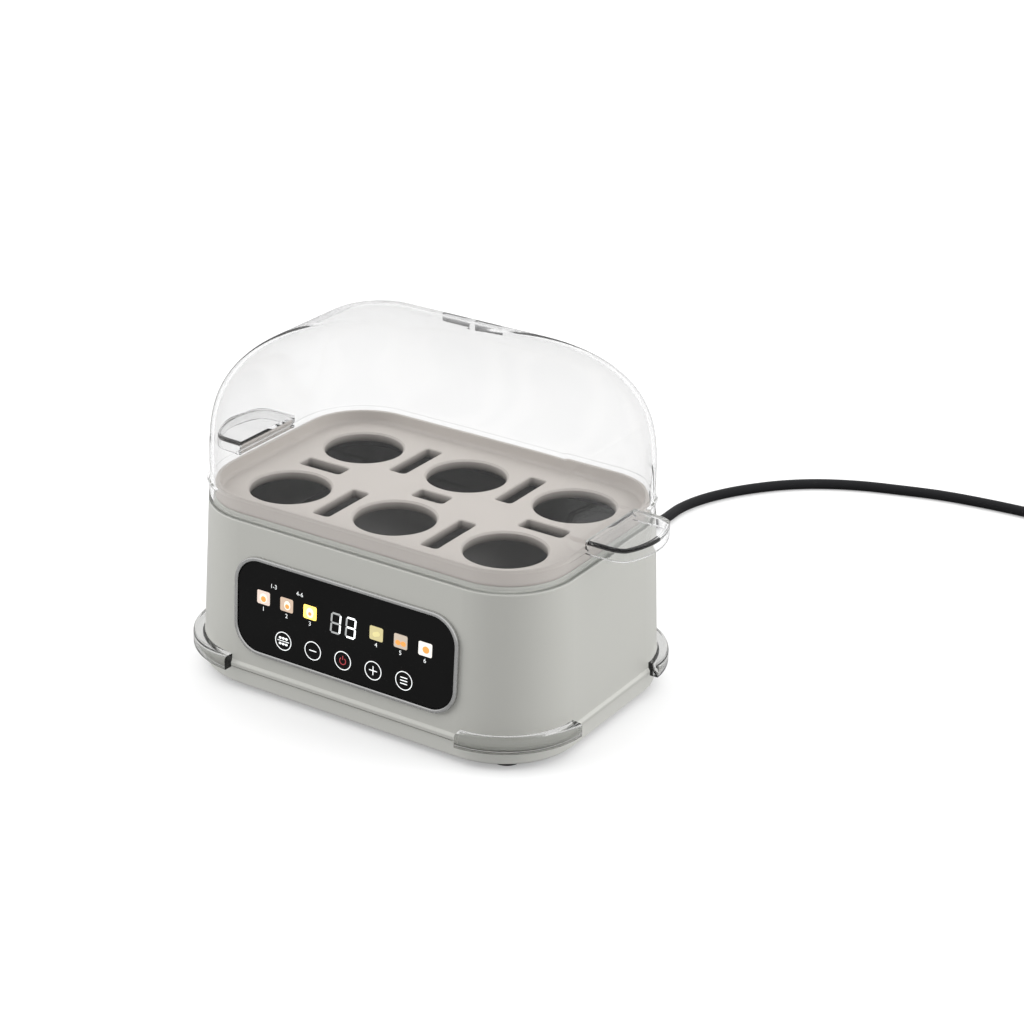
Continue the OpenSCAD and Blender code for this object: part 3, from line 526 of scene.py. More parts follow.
def filled(outer, holes, z):
    """A flat sheet at height z inside one closed line and outside the others. The triangles come
    from a constrained Delaunay triangulation, and those whose middle is in a hole are dropped."""
    points, edges = [], []
    for loop in (outer, *holes):
        first, n = len(points), len(loop)
        edges += [(first + i, first + (i + 1) % n) for i in range(n)]
        points += [Vector(p) for p in loop]
    spots, _, faces, *_ = delaunay_2d_cdt(points, edges, [], 1, 1e-5)
    level = np.array([tuple(p) for p in spots])
    middles = np.array([level[list(f)].mean(axis=0) for f in faces])
    keep = inside(middles, outer)
    for hole in holes:
        keep &= ~inside(middles, hole)
    kept = [list(f) for f, k in zip(faces, keep) if k]
    return np.column_stack([level, np.full(len(level), z)]), kept


# %% [markdown]
# ## The cord
# A cord has a fixed length, so its route comes before its looks. It leaves the strain relief
# straight back, sinks to the surface, and sweeps round to the right. The rest is wound into a neat
# coil past the edge of the view, and ends in its plug. The route's points are given; a smooth curve
# through them and turns for the coil give the centre line.

# %% The cord's route and coil
cord_d, exit_z, sleeve_reach = 6.0, 23.5, 33.6
cord_exit = np.array([0.0, housing_d / 2 - lean(exit_z) + sleeve_reach, exit_z])
cord_points = np.array([
    [0, 76, 23.5], [0, 92, 23.5], [0, 108, 23.5], [0, 121, 22.2],
    [1, 136, 16.8], [2, 152, 9.8], [4, 168, 4.8], [6, 187, 3], [9, 207, 3], [10, 226, 3],
    [10, 245, 3], [14, 263, 3], [22, 281, 3], [33, 298, 3], [46, 313, 3], [62, 326, 3],
    [82, 337, 3], [104, 345, 3], [127, 352, 3], [150, 356, 3], [175, 358.5, 3], [196, 359, 3],
    [214, 359, 3]], float)
coil_x, coil_y, coil_r = 214.0, 393.0, 31.0


def smooth_line(points, steps=8):
    """A Catmull-Rom curve: cubics between the points, whose slopes follow the neighbours."""
    padded = np.concatenate([points[:1], points, points[-1:]])
    a, b, c, d = (padded[i:len(padded) - 3 + i] for i in range(4))
    t = (np.arange(steps) / steps)[None, :, None]
    a, b, c, d = (p[:, None, :] for p in (a, b, c, d))
    curve = 0.5 * (2 * b + (c - a) * t + (2 * a - 5 * b + 4 * c - d) * t ** 2
                   + (3 * b - a - 3 * c + d) * t ** 3)
    return np.concatenate([curve.reshape(-1, 3), points[-1:]])


def ease(x, start, end):
    """0 before start, 1 after end, and a smooth half cosine between."""
    t = np.clip((x - start) / (end - start), 0, 1)
    return (1 - np.cos(np.pi * t)) / 2


def coil_line(steps_per_turn=48, turns=3.25):
    """Turns that lie beside and then on each other. The radius steps in by one cord after the first
    turn, the height steps up by one cord after the second, and the last quarter moves out again."""
    turn = np.linspace(0, turns, int(steps_per_turn * turns) + 1)[1:]
    radius = coil_r + cord_d / 2 - cord_d * ease(turn, 0.80, 1.0) + cord_d * ease(turn, 3.0, 3.25)
    height = cord_d / 2 + cord_d * ease(turn, 1.78, 2.0)
    flat_line = np.array([coil_x, coil_y]) + radius[:, None] * around(2 * np.pi * turn - np.pi / 2)
    return np.column_stack([flat_line, height])


# %% The cord's whole line
plug_x, plug_y = coil_x + coil_r + cord_d / 2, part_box("plug_body")[0][1] / MM
tail = np.array([[plug_x, plug_y + 2.0, 8.9], [plug_x, plug_y + 9.0, 8.5]])
floor_line = smooth_line(cord_points)
floor_line = floor_line[floor_line[:, 1] > cord_exit[1] + 0.5]
cord_line = np.concatenate([cord_exit[None], floor_line, coil_line(), tail])

# %% [markdown]
# A cord could be a swept mesh, but a curve with a round bevel is the honest tool: its own line is
# the centre line, so its length and bends can be measured.

# %% Make the cord
curve = bpy.data.curves.new("mains_cord", "CURVE")
curve.dimensions = "3D"
curve.bevel_depth = cord_d / 2 * MM
curve.bevel_resolution = 6
curve.use_fill_caps = True
spline = curve.splines.new("POLY")
spline.points.add(len(cord_line) - 1)
spline.points.foreach_set("co", np.column_stack([cord_line * MM, np.ones(len(cord_line))]).ravel())
spline.use_smooth = True
curve.materials.append(finishes["cord_rubber"])
mains_cord = placed("mains_cord", curve)
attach(mains_cord, "base")
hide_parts("power_cord", "cord_coil")

# %% [markdown]
# ## Pieces whose solid is already right
# Feet, plug, screws and boards have their true shape in the frame. Where such a piece is in plain
# view, a copy of it is merged from loose triangles, its flat faces are joined, and a small bevel
# catches the light along its edges. The hidden ones keep their own mesh and only get a finish.

# %% Bevelled copies of solids
def softened(node, name, finish, edge, segments=2):
    """A copy of a solid of the base, merged and with rounded edges, that stands for its node."""
    mesh = frame["nodes"][node].data.copy()
    mesh.name = name
    with edited(mesh) as shape:
        bmesh.ops.remove_doubles(shape, verts=shape.verts, dist=0.005 * MM)
        bmesh.ops.dissolve_limit(shape, angle_limit=math.radians(0.6), verts=shape.verts,
                                 edges=shape.edges)
        corners = [e for e in shape.edges if e.calc_face_angle(0.0) > math.radians(40)]
        bmesh.ops.bevel(shape, geom=corners, offset=edge * MM, offset_type="OFFSET",
                        segments=segments, profile=0.5, affect="EDGES", clamp_overlap=True)
    return piece(mesh, "base", finish, (node,))


# %% [markdown]
# ## The housing
# The housing is one moulded shell: walls that lean in as they rise so that it leaves its mould, a
# shoulder for the lid's skirt to land on, and a thinner neck inside the skirt. It could be a box
# with a bevel, but its section is the design, so the section is drawn and carried round the plan.

# %% Carry the housing's section round its plan
outline = rect_plan(housing_w, housing_d, corner_r)
ledge_z, ledge_in, ledge_t = shoulder_z - 9.3, 13.0, 2.4


def wall_in(z):
    """The inner wall's inset at height z."""
    return lean(z) + housing_wall


neck_root = shoulder_z - 2.7
neck_in, ledge_foot = neck_inset + neck_wall, ledge_z - ledge_t
housing_section = rounded([
    (-foot_step, seam_z, 0.4), (-foot_step, step_z - 1.6, 0.6), (lean(step_z), step_z, 0.8),
    (draft, shoulder_z, 0.9), (neck_inset, shoulder_z, 0.4), (neck_inset, neck_top, 0.5),
    (neck_in, neck_top, 0.5), (neck_in, neck_root, 0.5), (wall_in(neck_root), neck_root, 0.5),
    (wall_in(ledge_z), ledge_z, 0.6), (ledge_in, ledge_z, 0.5), (ledge_in, ledge_foot, 0.5),
    (wall_in(ledge_foot), ledge_foot, 0.6), (housing_wall, seam_z, 0.3)], closed=True)
housing_mesh = raw_mesh("housing", [grid_part(carried(housing_section, outline), close_rows=True)])

# %% [markdown]
# The display and the cord need openings. A boolean with a simple closed cutter is the plain way to
# make one in a finished shell, and its edges end up hidden under the bezel and the strain relief.

# %% Closed cutters and the boolean
glass_z = 49.9
front_y = -(housing_d / 2 - lean(glass_z))


def on_front(points):
    """Turns (right, up, out) on the leaning front wall into the cooker's frame."""
    p = np.asarray(points, float)
    c, s = math.cos(draft_angle), math.sin(draft_angle)
    return np.stack([p[..., 0], front_y + p[..., 1] * s - p[..., 2] * c,
                     glass_z + p[..., 1] * c + p[..., 2] * s], axis=-1)


def closed_prism(ring, z0, z1, turn=lambda p: p):
    """A closed plate between two heights, from one closed flat line."""
    levels = [np.column_stack([ring, np.full(len(ring), z)]) for z in (z0, z1)]
    points, faces = grid_part(np.stack(levels), caps=True)
    return turn(points), faces


def carve(mesh, cutter_parts, operation="DIFFERENCE"):
    """Cuts a closed shape from a mesh, or joins it on, and returns the new mesh."""
    target, tool = placed("target", mesh), placed("tool", raw_mesh("tool", cutter_parts))
    cut = target.modifiers.new("cut", "BOOLEAN")
    cut.operation, cut.object, cut.solver = operation, tool, "EXACT"
    bpy.context.view_layer.update()
    depsgraph = bpy.context.evaluated_depsgraph_get()
    done = bpy.data.meshes.new_from_object(target.evaluated_get(depsgraph))
    done.name = mesh.name
    for thing in (target, tool):
        bpy.data.objects.remove(thing)
    return done


# %% The window and the cord's hole
glass_w, glass_h, glass_r = 128.6, 48.0, 13.0
window_gap, cord_hole_d, cutter_back, cutter_front = 1.2, 10.4, -8, 4
window = ring_at(rect_plan(glass_w + 2 * window_gap, glass_h + 2 * window_gap,
                           glass_r + window_gap), 0)
cord_hole = ring_at(capsule_plan(0, 0, cord_hole_d, cord_hole_d), 0)


def on_back(points):
    """Turns (right, up, out) on the back wall into the cooker's frame, about the cord's exit."""
    p = np.asarray(points, float)
    return np.stack([p[..., 0], p[..., 2] + housing_d / 2, p[..., 1] + cord_exit[2]], axis=-1)


for hole, turn in ((window, on_front), (cord_hole, on_back)):
    housing_mesh = carve(housing_mesh, [closed_prism(hole, cutter_back, cutter_front, turn)])
piece(housing_mesh, "base", "satin_housing", ("housing_shell",))
print("housing faces:", len(housing_mesh.polygons))

# %% [markdown]
# ## Base, feet and guards
# The base stands back a little under the housing, and softened copies of it and of the feet are
# enough. Four clear guards grip the corners just above the seam. Each is a section carried round
# its corner, so that its rounded rim has an even highlight.

# %% Base and feet
softened("base_plate", "base_shell", "satin_base", 0.4)
softened("rubber_feet", "feet", "foot_rubber", 0.5, 3)

# %% Corner guards
guard_z, guard_h, guard_reach = seam_z - 0.6, 7.2, 5.8
guard_top = guard_z + guard_h
guard_section = rounded([
    (-foot_step - 0.1, guard_z, 0.3), (-guard_reach, guard_z, 0.6), (-guard_reach, guard_top, 1.8),
    (lean(guard_top) - 0.1, guard_top, 0.3), (lean(step_z) - 0.1, step_z + 0.1, 0),
    (-foot_step - 0.1, step_z - 1.5, 0)], closed=True)


def guard_part(quarter, trim=3.0, steps=28):
    """The guard's section carried round one corner, with a flat end at each side."""
    out = around(np.radians(90 * quarter + np.linspace(trim, 90 - trim, steps + 1)))
    sign = np.array(corner_signs(1))[:, quarter]
    centre = sign * (np.array([housing_w, housing_d]) / 2 - corner_r) + 0 * out
    return grid_part(carried(guard_section, (centre, out, corner_r)), True, False, caps=True)


for quarter, place in enumerate(("rear_right", "rear_left", "front_left", "front_right")):
    piece(raw_mesh(f"{place}_corner_guard", [guard_part(quarter)]), "base", "guard_plastic",
          (f"{place}_guard",))

# %% The cord's ends
softened("strain_relief", "cord_sleeve", "cord_rubber", 0.25)
plug = softened("plug_body", "moulded_plug", "cord_rubber", 1.2, 4)
pins = softened("plug_pins", "plug_blades", "brass_parts", 0.5, 3)

# %% [markdown]
# ## The display
# Behind the bezel lies one sheet of black glass. Its keys are only printed rings, lit from behind,
# so each symbol is a thin flat shape just on the glass: rings and bars from a few short functions.
# The two digits are seven bars each, and the unlit bars stay faintly visible.

# %% Bezel and glass
def front_part(section, plan, **ends):
    """A section carried round a plan that lies on the front wall."""
    points, faces = grid_part(carried(section, plan), **ends)
    return on_front(points), faces


bezel_w, bezel_t = 2.1, 2.0
bezel_plan = rect_plan(glass_w + 2 * bezel_w, glass_h + 2 * bezel_w, glass_r + bezel_w, 12, 0.4)
bezel_section = rounded([
    (0, 0.02, 0), (0, bezel_t, 0.7), (bezel_w - 0.1, bezel_t, 0.6), (bezel_w - 0.1, -2.9, 0),
    (bezel_w - 1.0, -2.9, 0), (bezel_w - 1.0, 0.02, 0)], closed=True)
bezel = front_part(bezel_section, bezel_plan, close_rows=True)
piece(raw_mesh("bright_frame", [bezel]), "base", "bright_bezel", ("display_bezel",))

glass_back, glass_top = -1.8, 1.2
glass_plan = rect_plan(glass_w - 0.2, glass_h - 0.2, glass_r - 0.1, 12, 0.4)
glass_section = rounded([(0, glass_back, 0), (0, glass_top, 0.35), (3, glass_top, 0)])
glass = front_part(glass_section, glass_plan, caps=True)
piece(raw_mesh("touch_glass", [glass]), "base", "black_glass", ("display_glass",))

# %% Flat symbol shapes
ink = 0.06
ink_z = glass_top + 0.01


def disc(x, y, rx, ry, steps=36):
    """An ellipse as a closed line."""
    ring = around(np.linspace(0, 2 * np.pi, steps, endpoint=False))
    return np.array([x, y]) + np.array([rx, ry]) * ring


def bar(x, y, length, width, degrees=0.0, steps=4):
    """A bar with round ends about (x, y), turned by degrees."""
    across, up = ring_at(capsule_plan(0, 0, length, width, steps), 0).T
    c, s = math.cos(math.radians(degrees)), math.sin(math.radians(degrees))
    return np.stack([x + across * c - up * s, y + across * s + up * c], axis=1)


def flat(ring, lift=0.0):
    """A thin printed shape on the glass."""
    return closed_prism(ring, ink_z + lift, ink_z + lift + ink, on_front)


def hoop(x, y, radius, width, start=0.0, sweep=360.0, steps=64):
    """A printed ring, or part of one, drawn as a band between two radii."""
    whole = sweep >= 360
    out = around(np.radians(np.linspace(start, start + sweep, steps + 1)))[:-1 if whole else None]
    section = np.array([(0, 0), (0, ink), (width, ink), (width, 0)]) + np.array([0, ink_z])
    plan = (np.array([x, y]) + 0 * out, out, radius)
    return front_part(section, plan, close_rows=True, close_columns=whole, caps=not whole)


def print_on_glass(name, parts, colour, glow, build=raw_mesh):
    """A printed piece of one colour that rides with the base."""
    finishes[name] = printed_light(name, colour, glow)
    piece(build(name, parts), "base", name, even=False)


# %% Touch keys
key_y, key_pitch, key_r, line_w = -14.2, 18.05, 4.94, 0.42
key_x = [key_pitch * i for i in range(-2, 3)]
white_rings = [hoop(x, key_y, key_r, line_w) for x in key_x]
minus = [flat(bar(key_x[1], key_y, 4.4, 0.5))]
plus = [flat(bar(key_x[3], key_y, 4.8, 0.5)), flat(bar(key_x[3], key_y, 4.8, 0.5, 90), 0.002)]
menu = [flat(bar(key_x[4], key_y + dy, 4.2, 0.5)) for dy in (-1.6, 0.0, 1.6)]
two_rows = [flat(bar(key_x[0], key_y, 7.2, 0.4))]
two_rows += [flat(disc(key_x[0] + dx, key_y + dy, 0.85, 0.65))
             for dx in (-1.9, 0.0, 1.9) for dy in (1.5, -1.5)]
print_on_glass("key_symbols", white_rings + minus + plus + menu + two_rows, (0.80, 0.82, 0.82), 0.9)
power_key = [hoop(key_x[2], key_y - 0.2, 2.0, 0.45, 125, 290),
             flat(bar(key_x[2], key_y + 1.5, 2.2, 0.45, 90))]
print_on_glass("power_symbol", power_key, (0.42, 0.05, 0.06), 0.5)

# %% [markdown]
# A digit is drawn the way the module makes it: seven bars, lettered from the top round to the
# middle, and a table says which of them are lit.

# %% Digits
digit_w, digit_h, digit_lean, bar_w, bar_inset, bar_gap = 6.4, 11.4, 0.05, 1.05, 0.6, 0.5
bars = {"a": (0, 1, 0), "g": (0, 0, 0), "d": (0, -1, 0), "b": (1, 0.5, 90), "c": (1, -0.5, 90),
        "f": (-1, 0.5, 90), "e": (-1, -0.5, 90)}
lit = {"1": "bc", "3": "abcdg"}


def segment(x, y, letter):
    """One bar of a digit at its place, leaning with the digit."""
    across, up, turn = bars[letter]
    half_w, half_h = digit_w / 2 - bar_inset, digit_h / 2 - bar_inset
    length = (half_h if turn else 2 * half_w) - bar_gap
    spot_y = up * half_h
    return flat(bar(x + across * half_w + digit_lean * spot_y, y + spot_y, length, bar_w,
                    turn and turn - 4.0, steps=2))


digit_places, digit_y = {-4.7: "1", 4.2: "3"}, 4.3
bright = [segment(x, digit_y, s) for x, number in digit_places.items() for s in lit[number]]
faint = [segment(x, digit_y, s) for x, number in digit_places.items()
         for s in bars if s not in lit[number]]
print_on_glass("lit_digits", bright, (0.86, 0.88, 0.88), 1.6)
print_on_glass("unlit_digits", faint, (0.42, 0.43, 0.43), 0.45)

# %% [markdown]
# The six programs have a small coloured tile each. The pictures on the tiles are simple marks of
# their own: an egg's oval with a yolk of another size for each cooking time, and plain shapes for
# the other three. Plain numbers stand under and over them.

# %% Program tiles
tile_w, tile_h, tile_y = 7.8, 7.2, 5.7
tile_x = (-48.6, -34.4, -20.2, 19.3, 33.5, 47.7)
tile_ring = ring_at(rect_plan(tile_w, tile_h, 0.9, 4, 0.1), 0)
tile_looks = (((0.80, 0.66, 0.58), 0.50), ((0.66, 0.50, 0.38), 0.45), ((1.00, 0.72, 0.14), 1.7),
              ((0.66, 0.58, 0.30), 0.45), ((0.62, 0.52, 0.42), 0.42), ((0.86, 0.83, 0.78), 0.62))
for number, (x, (colour, glow)) in enumerate(zip(tile_x, tile_looks)):
    print_on_glass(f"program_tile_{number + 1}", [flat(tile_ring + np.array([x, tile_y]))],
                   colour, glow)


def ovals(table):
    """Ellipses on tiles, from rows of tile, right, up, half width, half height and lift."""
    return [flat(disc(tile_x[i] + dx, tile_y + dy, rx, ry), lift)
            for i, dx, dy, rx, ry, lift in table]


on_tile, on_white = 0.07, 0.14
whites = ovals(((0, 0, -0.3, 2.3, 2.5, on_tile), (1, 0.4, -0.2, 1.9, 2.4, on_tile),
                (2, 0, -0.2, 2.2, 2.7, on_tile)))
print_on_glass("egg_whites", whites, (0.90, 0.84, 0.74), 0.62)
yolks = ovals(((0, 0, -0.7, 1.5, 1.5, on_white), (1, 0.4, -0.7, 1.2, 1.2, on_white),
               (2, 0, -0.7, 0.9, 0.9, on_white), (4, -1.5, -0.9, 1.5, 1.3, on_tile),
               (4, 1.6, -0.9, 1.5, 1.3, on_tile), (5, 0.4, -0.2, 1.9, 1.8, on_tile)))
print_on_glass("yolks", yolks, (0.80, 0.33, 0.08), 0.75)
omelette = [flat(bar(tile_x[3], tile_y - 0.3, 4.4, 2.4, 20), on_tile)]
print_on_glass("omelette", omelette, (0.78, 0.70, 0.34), 0.5)


# %% Plain numbers
def numeral(text, x, y, height=3.2):
    """A plain number, flat on the glass about (x, y)."""
    letter = bpy.data.curves.new("letter", "FONT")
    letter.body, letter.size = text, height
    letter.align_x = letter.align_y = "CENTER"
    shown = placed("letter", letter)
    bpy.context.view_layer.update()
    made = bpy.data.meshes.new_from_object(shown)
    bpy.data.objects.remove(shown)
    points = vectors(made.vertices, "co") + np.array([x, y, ink_z + ink])
    return on_front(points), [list(f.vertices) for f in made.polygons]


numbers = [(str(i + 1), x, tile_y - 6.0) for i, x in enumerate(tile_x)]
numbers += [("1-3", -42.5, 13.2), ("4-6", -26.6, 13.5)]
print_on_glass("small_numbers", [numeral(*number) for number in numbers], (0.80, 0.82, 0.82),
               0.8, plain_mesh)

# %% [markdown]
# ## The egg tray
# The tray is a shallow dish with a flange that hangs on the neck, six round holes whose rims are
# chamfered for the eggs, and straight slots for steam with deep walls. A boolean would cut the
# holes but leave ragged shading. Here the floor is triangulated between the true outlines, and each
# hole gets its own small section carried round it, so that every edge meets its neighbour exactly.

# %% Floor, rim and holes of the tray
tray_wall, tray_depth, collar_h, rim_lean = 2.0, 6.3, 5.0, 0.3
tray_floor_z = neck_top + tray_wall
tray_rim_z, collar_z = tray_floor_z + tray_depth, tray_floor_z - collar_h
lip_in, lip_z = neck_inset + neck_wall + 0.4, neck_top - 2.6
dish_in = neck_inset + rim_lean + tray_wall
under_run, floor_run, top_edge, under_edge = 4.5, 6.0, 0.4, 0.6
rim_section = rounded([
    (lip_in + under_run, neck_top, 0), (lip_in + tray_wall, neck_top, 0.3),
    (lip_in + tray_wall, lip_z, 0.5), (lip_in + 0.3, lip_z, 0.5), (lip_in, neck_top, 0.2),
    (neck_inset, neck_top, 0.3), (neck_inset + rim_lean, tray_rim_z, 0.6),
    (dish_in, tray_rim_z, 0.5), (dish_in + 0.6, tray_floor_z, 2.0),
    (dish_in + floor_run, tray_floor_z, 0)])
tray_parts = [grid_part(carried(rim_section, outline))]
egg_r, slot_w, slot_corner = 20.5, 10.0, 2.0
egg_pitch, egg_row_y, slot_row_y, slot_l = 64, 31.5, 32.5, 35.0
outer_slot_x, outer_slot_l, middle_slot_l = 66.3, 25.5, 19.2
egg_plans = [capsule_plan(egg_pitch * i, egg_row_y * s, 2 * egg_r, 2 * egg_r, 18)
             for i in (-1, 0, 1) for s in (-1, 1)]
slots = [(slot_w, slot_l, egg_pitch / 2 * i, slot_row_y * s) for i in (-1, 1) for s in (-1, 1)]
slots += [(outer_slot_l, slot_w, -outer_slot_x, 0), (middle_slot_l, slot_w, 0, 0),
          (outer_slot_l, slot_w, outer_slot_x, 0)]
slot_plans = [rect_plan(w, d, slot_corner, 6, 0.2, (x, y)) for w, d, x, y in slots]


def hole_section(chamfer, collar):
    """From the floor's edge over the chamfer, down the inner wall and up the outer one."""
    return rounded([
        (-chamfer - top_edge, tray_floor_z, 0), (-chamfer, tray_floor_z, 0.4),
        (0, tray_floor_z - chamfer, 0.4), (0, collar_z, 0.4), (-collar, collar_z, 0.4),
        (-collar, neck_top, 0.3), (-collar - under_edge, neck_top, 0)])


top_holes, under_holes = [], []
for plans, chamfer, collar in ((egg_plans, 1.0, 1.6), (slot_plans, 0.5, 1.2)):
    tray_parts += [grid_part(carried(hole_section(chamfer, collar), plan)) for plan in plans]
    top_holes += [ring_at(plan, -chamfer - top_edge) for plan in plans]
    under_holes += [ring_at(plan, -collar - under_edge) for plan in plans]
tray_parts.append(filled(ring_at(outline, dish_in + floor_run), top_holes, tray_floor_z))
tray_parts.append(filled(ring_at(outline, lip_in + under_run), under_holes, neck_top))
tray = piece(raw_mesh("lift_out_tray", tray_parts), "tray", "tray_plastic", ("egg_tray",))
print("tray faces:", len(tray.data.polygons))

# %% [markdown]
# ## The clear lid
# The lid is a thin shell that starts as the housing's plan and rounds over into a crown. Each level
# is a rounded rectangle whose half width, half depth and corner radius shrink as
# `(1 - t ** 3.4) ** (1 / power)` with the height t from 0 to 1. A higher power keeps the outline
# square for longer, so the long way gets a higher power than the short way. A lattice of levels and
# angles makes the outer skin, and the same function with the wall taken off makes the inner one.

# %% The lid's skin
crown_z, spring_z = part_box("lid")[1][2] / MM, shoulder_z + 13.9
foot = np.array([housing_w / 2 - draft, housing_d / 2 - draft, corner_r - draft])
spring = foot - np.array([0.6, 1.1, 0.7])
powers, rise_power = np.array([2.47, 1.94, 2.12]), 3.4
bead_z, bead_t = shoulder_z + 10.8, 1.2


def dome_level(t, inset):
    """Height, half width, half depth and radius of the levels t."""
    m = np.maximum(1 - t ** rise_power, 0)[:, None]
    height = spring_z + (crown_z - spring_z - inset) * t
    return np.column_stack([height, (spring - inset) * m ** (1 / powers)])


def level_rings(levels, steps=20):
    """The rounded rectangles of many levels at once, as rows by columns by three."""
    a = np.radians(np.concatenate([q * 90 + np.linspace(0, 90, steps + 1) for q in range(4)]))
    sign_x, sign_y = corner_signs(steps + 1)
    z, hx, hy, r = (column[:, None] for column in levels.T)
    r = np.minimum(r, np.minimum(hx, hy))
    x = sign_x * (hx - r) + r * np.cos(a)
    y = sign_y * (hy - r) + r * np.sin(a)
    return np.dstack([x, y, np.broadcast_to(z, x.shape)])


def skirt_levels(inset, bead=False):
    """The straight skirt from its foot to where the dome starts, with the bead on its outside."""
    stops = [(0.0, 0.0), (0.6, 0.0)]
    if bead:
        top, half = bead_z - shoulder_z, 0.9
        swell = np.linspace(-1, 1, 9)
        stops += [(top + half * s, bead_t * math.sqrt(max(1 - s * s, 0))) for s in swell]
        stops.insert(2, (top - half - 0.4, 0.0))
        stops.append((top + half + 0.4, 0.0))
    rise, swell_out = (values[:, None] for values in np.array(stops).T)
    size = foot + (spring - foot) * (rise / (spring_z - shoulder_z)) - inset + swell_out
    return np.column_stack([shoulder_z + rise, size])


climb = 1 - (1 - np.linspace(0, 1, 64)[:-1]) ** 2
outer = level_rings(np.concatenate([skirt_levels(0, True), dome_level(climb, 0)]))
inner = level_rings(np.concatenate([skirt_levels(lid_wall), dome_level(climb, lid_wall)]))
lid_mesh = raw_mesh("clear_lid", [grid_part(np.concatenate([inner[::-1], outer]), caps=True)])

# %% [markdown]
# Two handles are moulded on, each a flat plate with a turned-down lip. Seen from above, a handle
# has straight sides, round corners and a slightly curved tip. Rings of that plan, drawn in a little
# for each step of the rounded edge, make one closed body whose root lies inside the lid's wall,
# where a boolean joins the two. Two slots near the crown let the steam out. A cut in a thin clear
# wall hardly shows, so the dark that its edge would show is painted on: each slot gets a thin
# near-black wall of painted shade, a small section carried round the slot's own plan and sheared
# to the slope of the crown.

# %% The handles' rings
handle_reach, handle_half, handle_h, handle_t = 129.8, 23.2, 7.0, 2.0
handle_corner, handle_tip_r = 14.0, 40.0
handle_z = shoulder_z + 16
root_x = spring[0] - lid_wall / 2


def handle_ring(inset, root, z, steps=48):
    """The handle's plan at one height. For each y, x is the smaller of the round-cornered
    rectangle and the tip's arc."""
    half, tip, r = handle_half - inset, handle_reach - inset, handle_corner - inset
    y = half * np.sin(np.radians(np.linspace(-90, 90, steps + 1)))
    over = np.clip(np.abs(y) - (half - r), 0, r)
    box = tip - r + np.sqrt(np.maximum(r * r - over * over, 0))
    arc = tip - (handle_tip_r - inset) + np.sqrt((handle_tip_r - inset) ** 2 - y * y)
    x = np.concatenate([[root], np.minimum(box, arc), [root]])
    y = np.concatenate([[-half], y, [half]])
    return np.stack([x, y, np.full(len(x), z)], axis=1)


def handle_part(side):
    """The closed body of one handle, turned half round for the left side."""
    top, lip_foot, t, r = handle_z, handle_z - handle_h, handle_t, 0.8
    turn = np.radians(np.linspace(90, 0, 6))
    edge, inner_root = ((0, 0.5), (0.15, 0.15), (0.5, 0)), root_x + 1.4
    rows = [handle_ring(r - r * math.cos(a), root_x, top - r + r * math.sin(a)) for a in turn]
    rows += [handle_ring(d, root_x, lip_foot + h) for d, h in edge]
    rows += [handle_ring(t - d, inner_root, lip_foot + h) for d, h in edge[::-1]]
    rows += [handle_ring(t + r - r * math.sin(a), inner_root, top - t - r + r * math.cos(a))
             for a in turn]
    points, faces = grid_part(np.stack(rows), caps=True)
    return points * np.array([side, side, 1.0]), faces


# %% Join the handles and cut the vents
for side in (1, -1):
    lid_mesh = carve(lid_mesh, [handle_part(side)], "UNION")
vent_l, vent_w, vent_pitch, vent_y = 15.3, 5.2, 19.5, 34.6
# Painted shade: each vent gets a thin near-black wall round its cut, for the dark its edge shows
# through the clear plastic.
vent_slope, vent_shade_top, vent_shade_foot, vent_shade_t = 0.445, 177.3, 174.7, 0.9
cut_low, cut_high = crown_z - 24, crown_z + 5
vent_shade_section = rounded([(0, vent_shade_foot, 0.3), (0, vent_shade_top, 0.4), (vent_shade_t, vent_shade_top, 0.4),
                         (vent_shade_t, vent_shade_foot, 0.3)], closed=True)
vent_shade_walls = []
for side in (1, -1):
    plan = capsule_plan(side * vent_pitch / 2, vent_y, vent_l, vent_w, 8)
    lid_mesh = carve(lid_mesh, [closed_prism(ring_at(plan, 0), cut_low, cut_high)])
    points, faces = grid_part(carried(vent_shade_section, plan), close_rows=True)
    points[:, 2] -= vent_slope * (points[:, 1] - vent_y)
    vent_shade_walls.append((points, faces))
piece(lid_mesh, "lid", "clear_plastic", ("lid",), angle=math.radians(30))
piece(raw_mesh("painted_vent_shade", vent_shade_walls), "lid", "dark_edge")
print("lid faces:", len(lid_mesh.polygons))

# %% [markdown]
# The handles are thick enough to bend what is behind them, so they get a finish of their own. The
# corner inside a handle's lip gathers no light and reads as a dark line, so that line is painted on
# in near black as painted shade. Both sets of faces are found by array tests on the middles of the
# faces.

# %% Finishes on parts of the lid
x, y, z = (vectors(lid_mesh.polygons, "center") / MM).T
tilt = np.abs(vectors(lid_mesh.polygons, "normal")[:, 2])
grips = (np.abs(x) > spring[0] + 0.02) & (np.abs(y) < handle_half + 0.1)
grips &= (z > handle_z - handle_h - 0.1) & (z < handle_z + 0.1)
pocket_z, line_h = handle_z - handle_t, 0.60
# Painted shade: a thin band of faces in the corner inside each lip takes the near-black finish.
dark = grips & (z < pocket_z - 0.01) & (z > pocket_z - line_h) & (tilt > 0.05)
dark &= (y < 3.0) & ((x < 0) | (x > root_x + 2.2))
for name in ("dark_edge", "handle_plastic"):
    lid_mesh.materials.append(finishes[name])
kinds = np.where(dark, 1, np.where(grips, 2, 0))
lid_mesh.polygons.foreach_set("material_index", kinds.astype(np.int32))
print("handle faces:", int(grips.sum()), "dark corner:", int(dark.sum()))

# %% [markdown]
# ## Inside the cooker
# Lift the tray and the pan shows, painted near black as painted shade, with its silicone seal round
# the edge. The rest is under the pan and inside the display. Those solids keep their own shape, and
# take the finish that the record names for them.

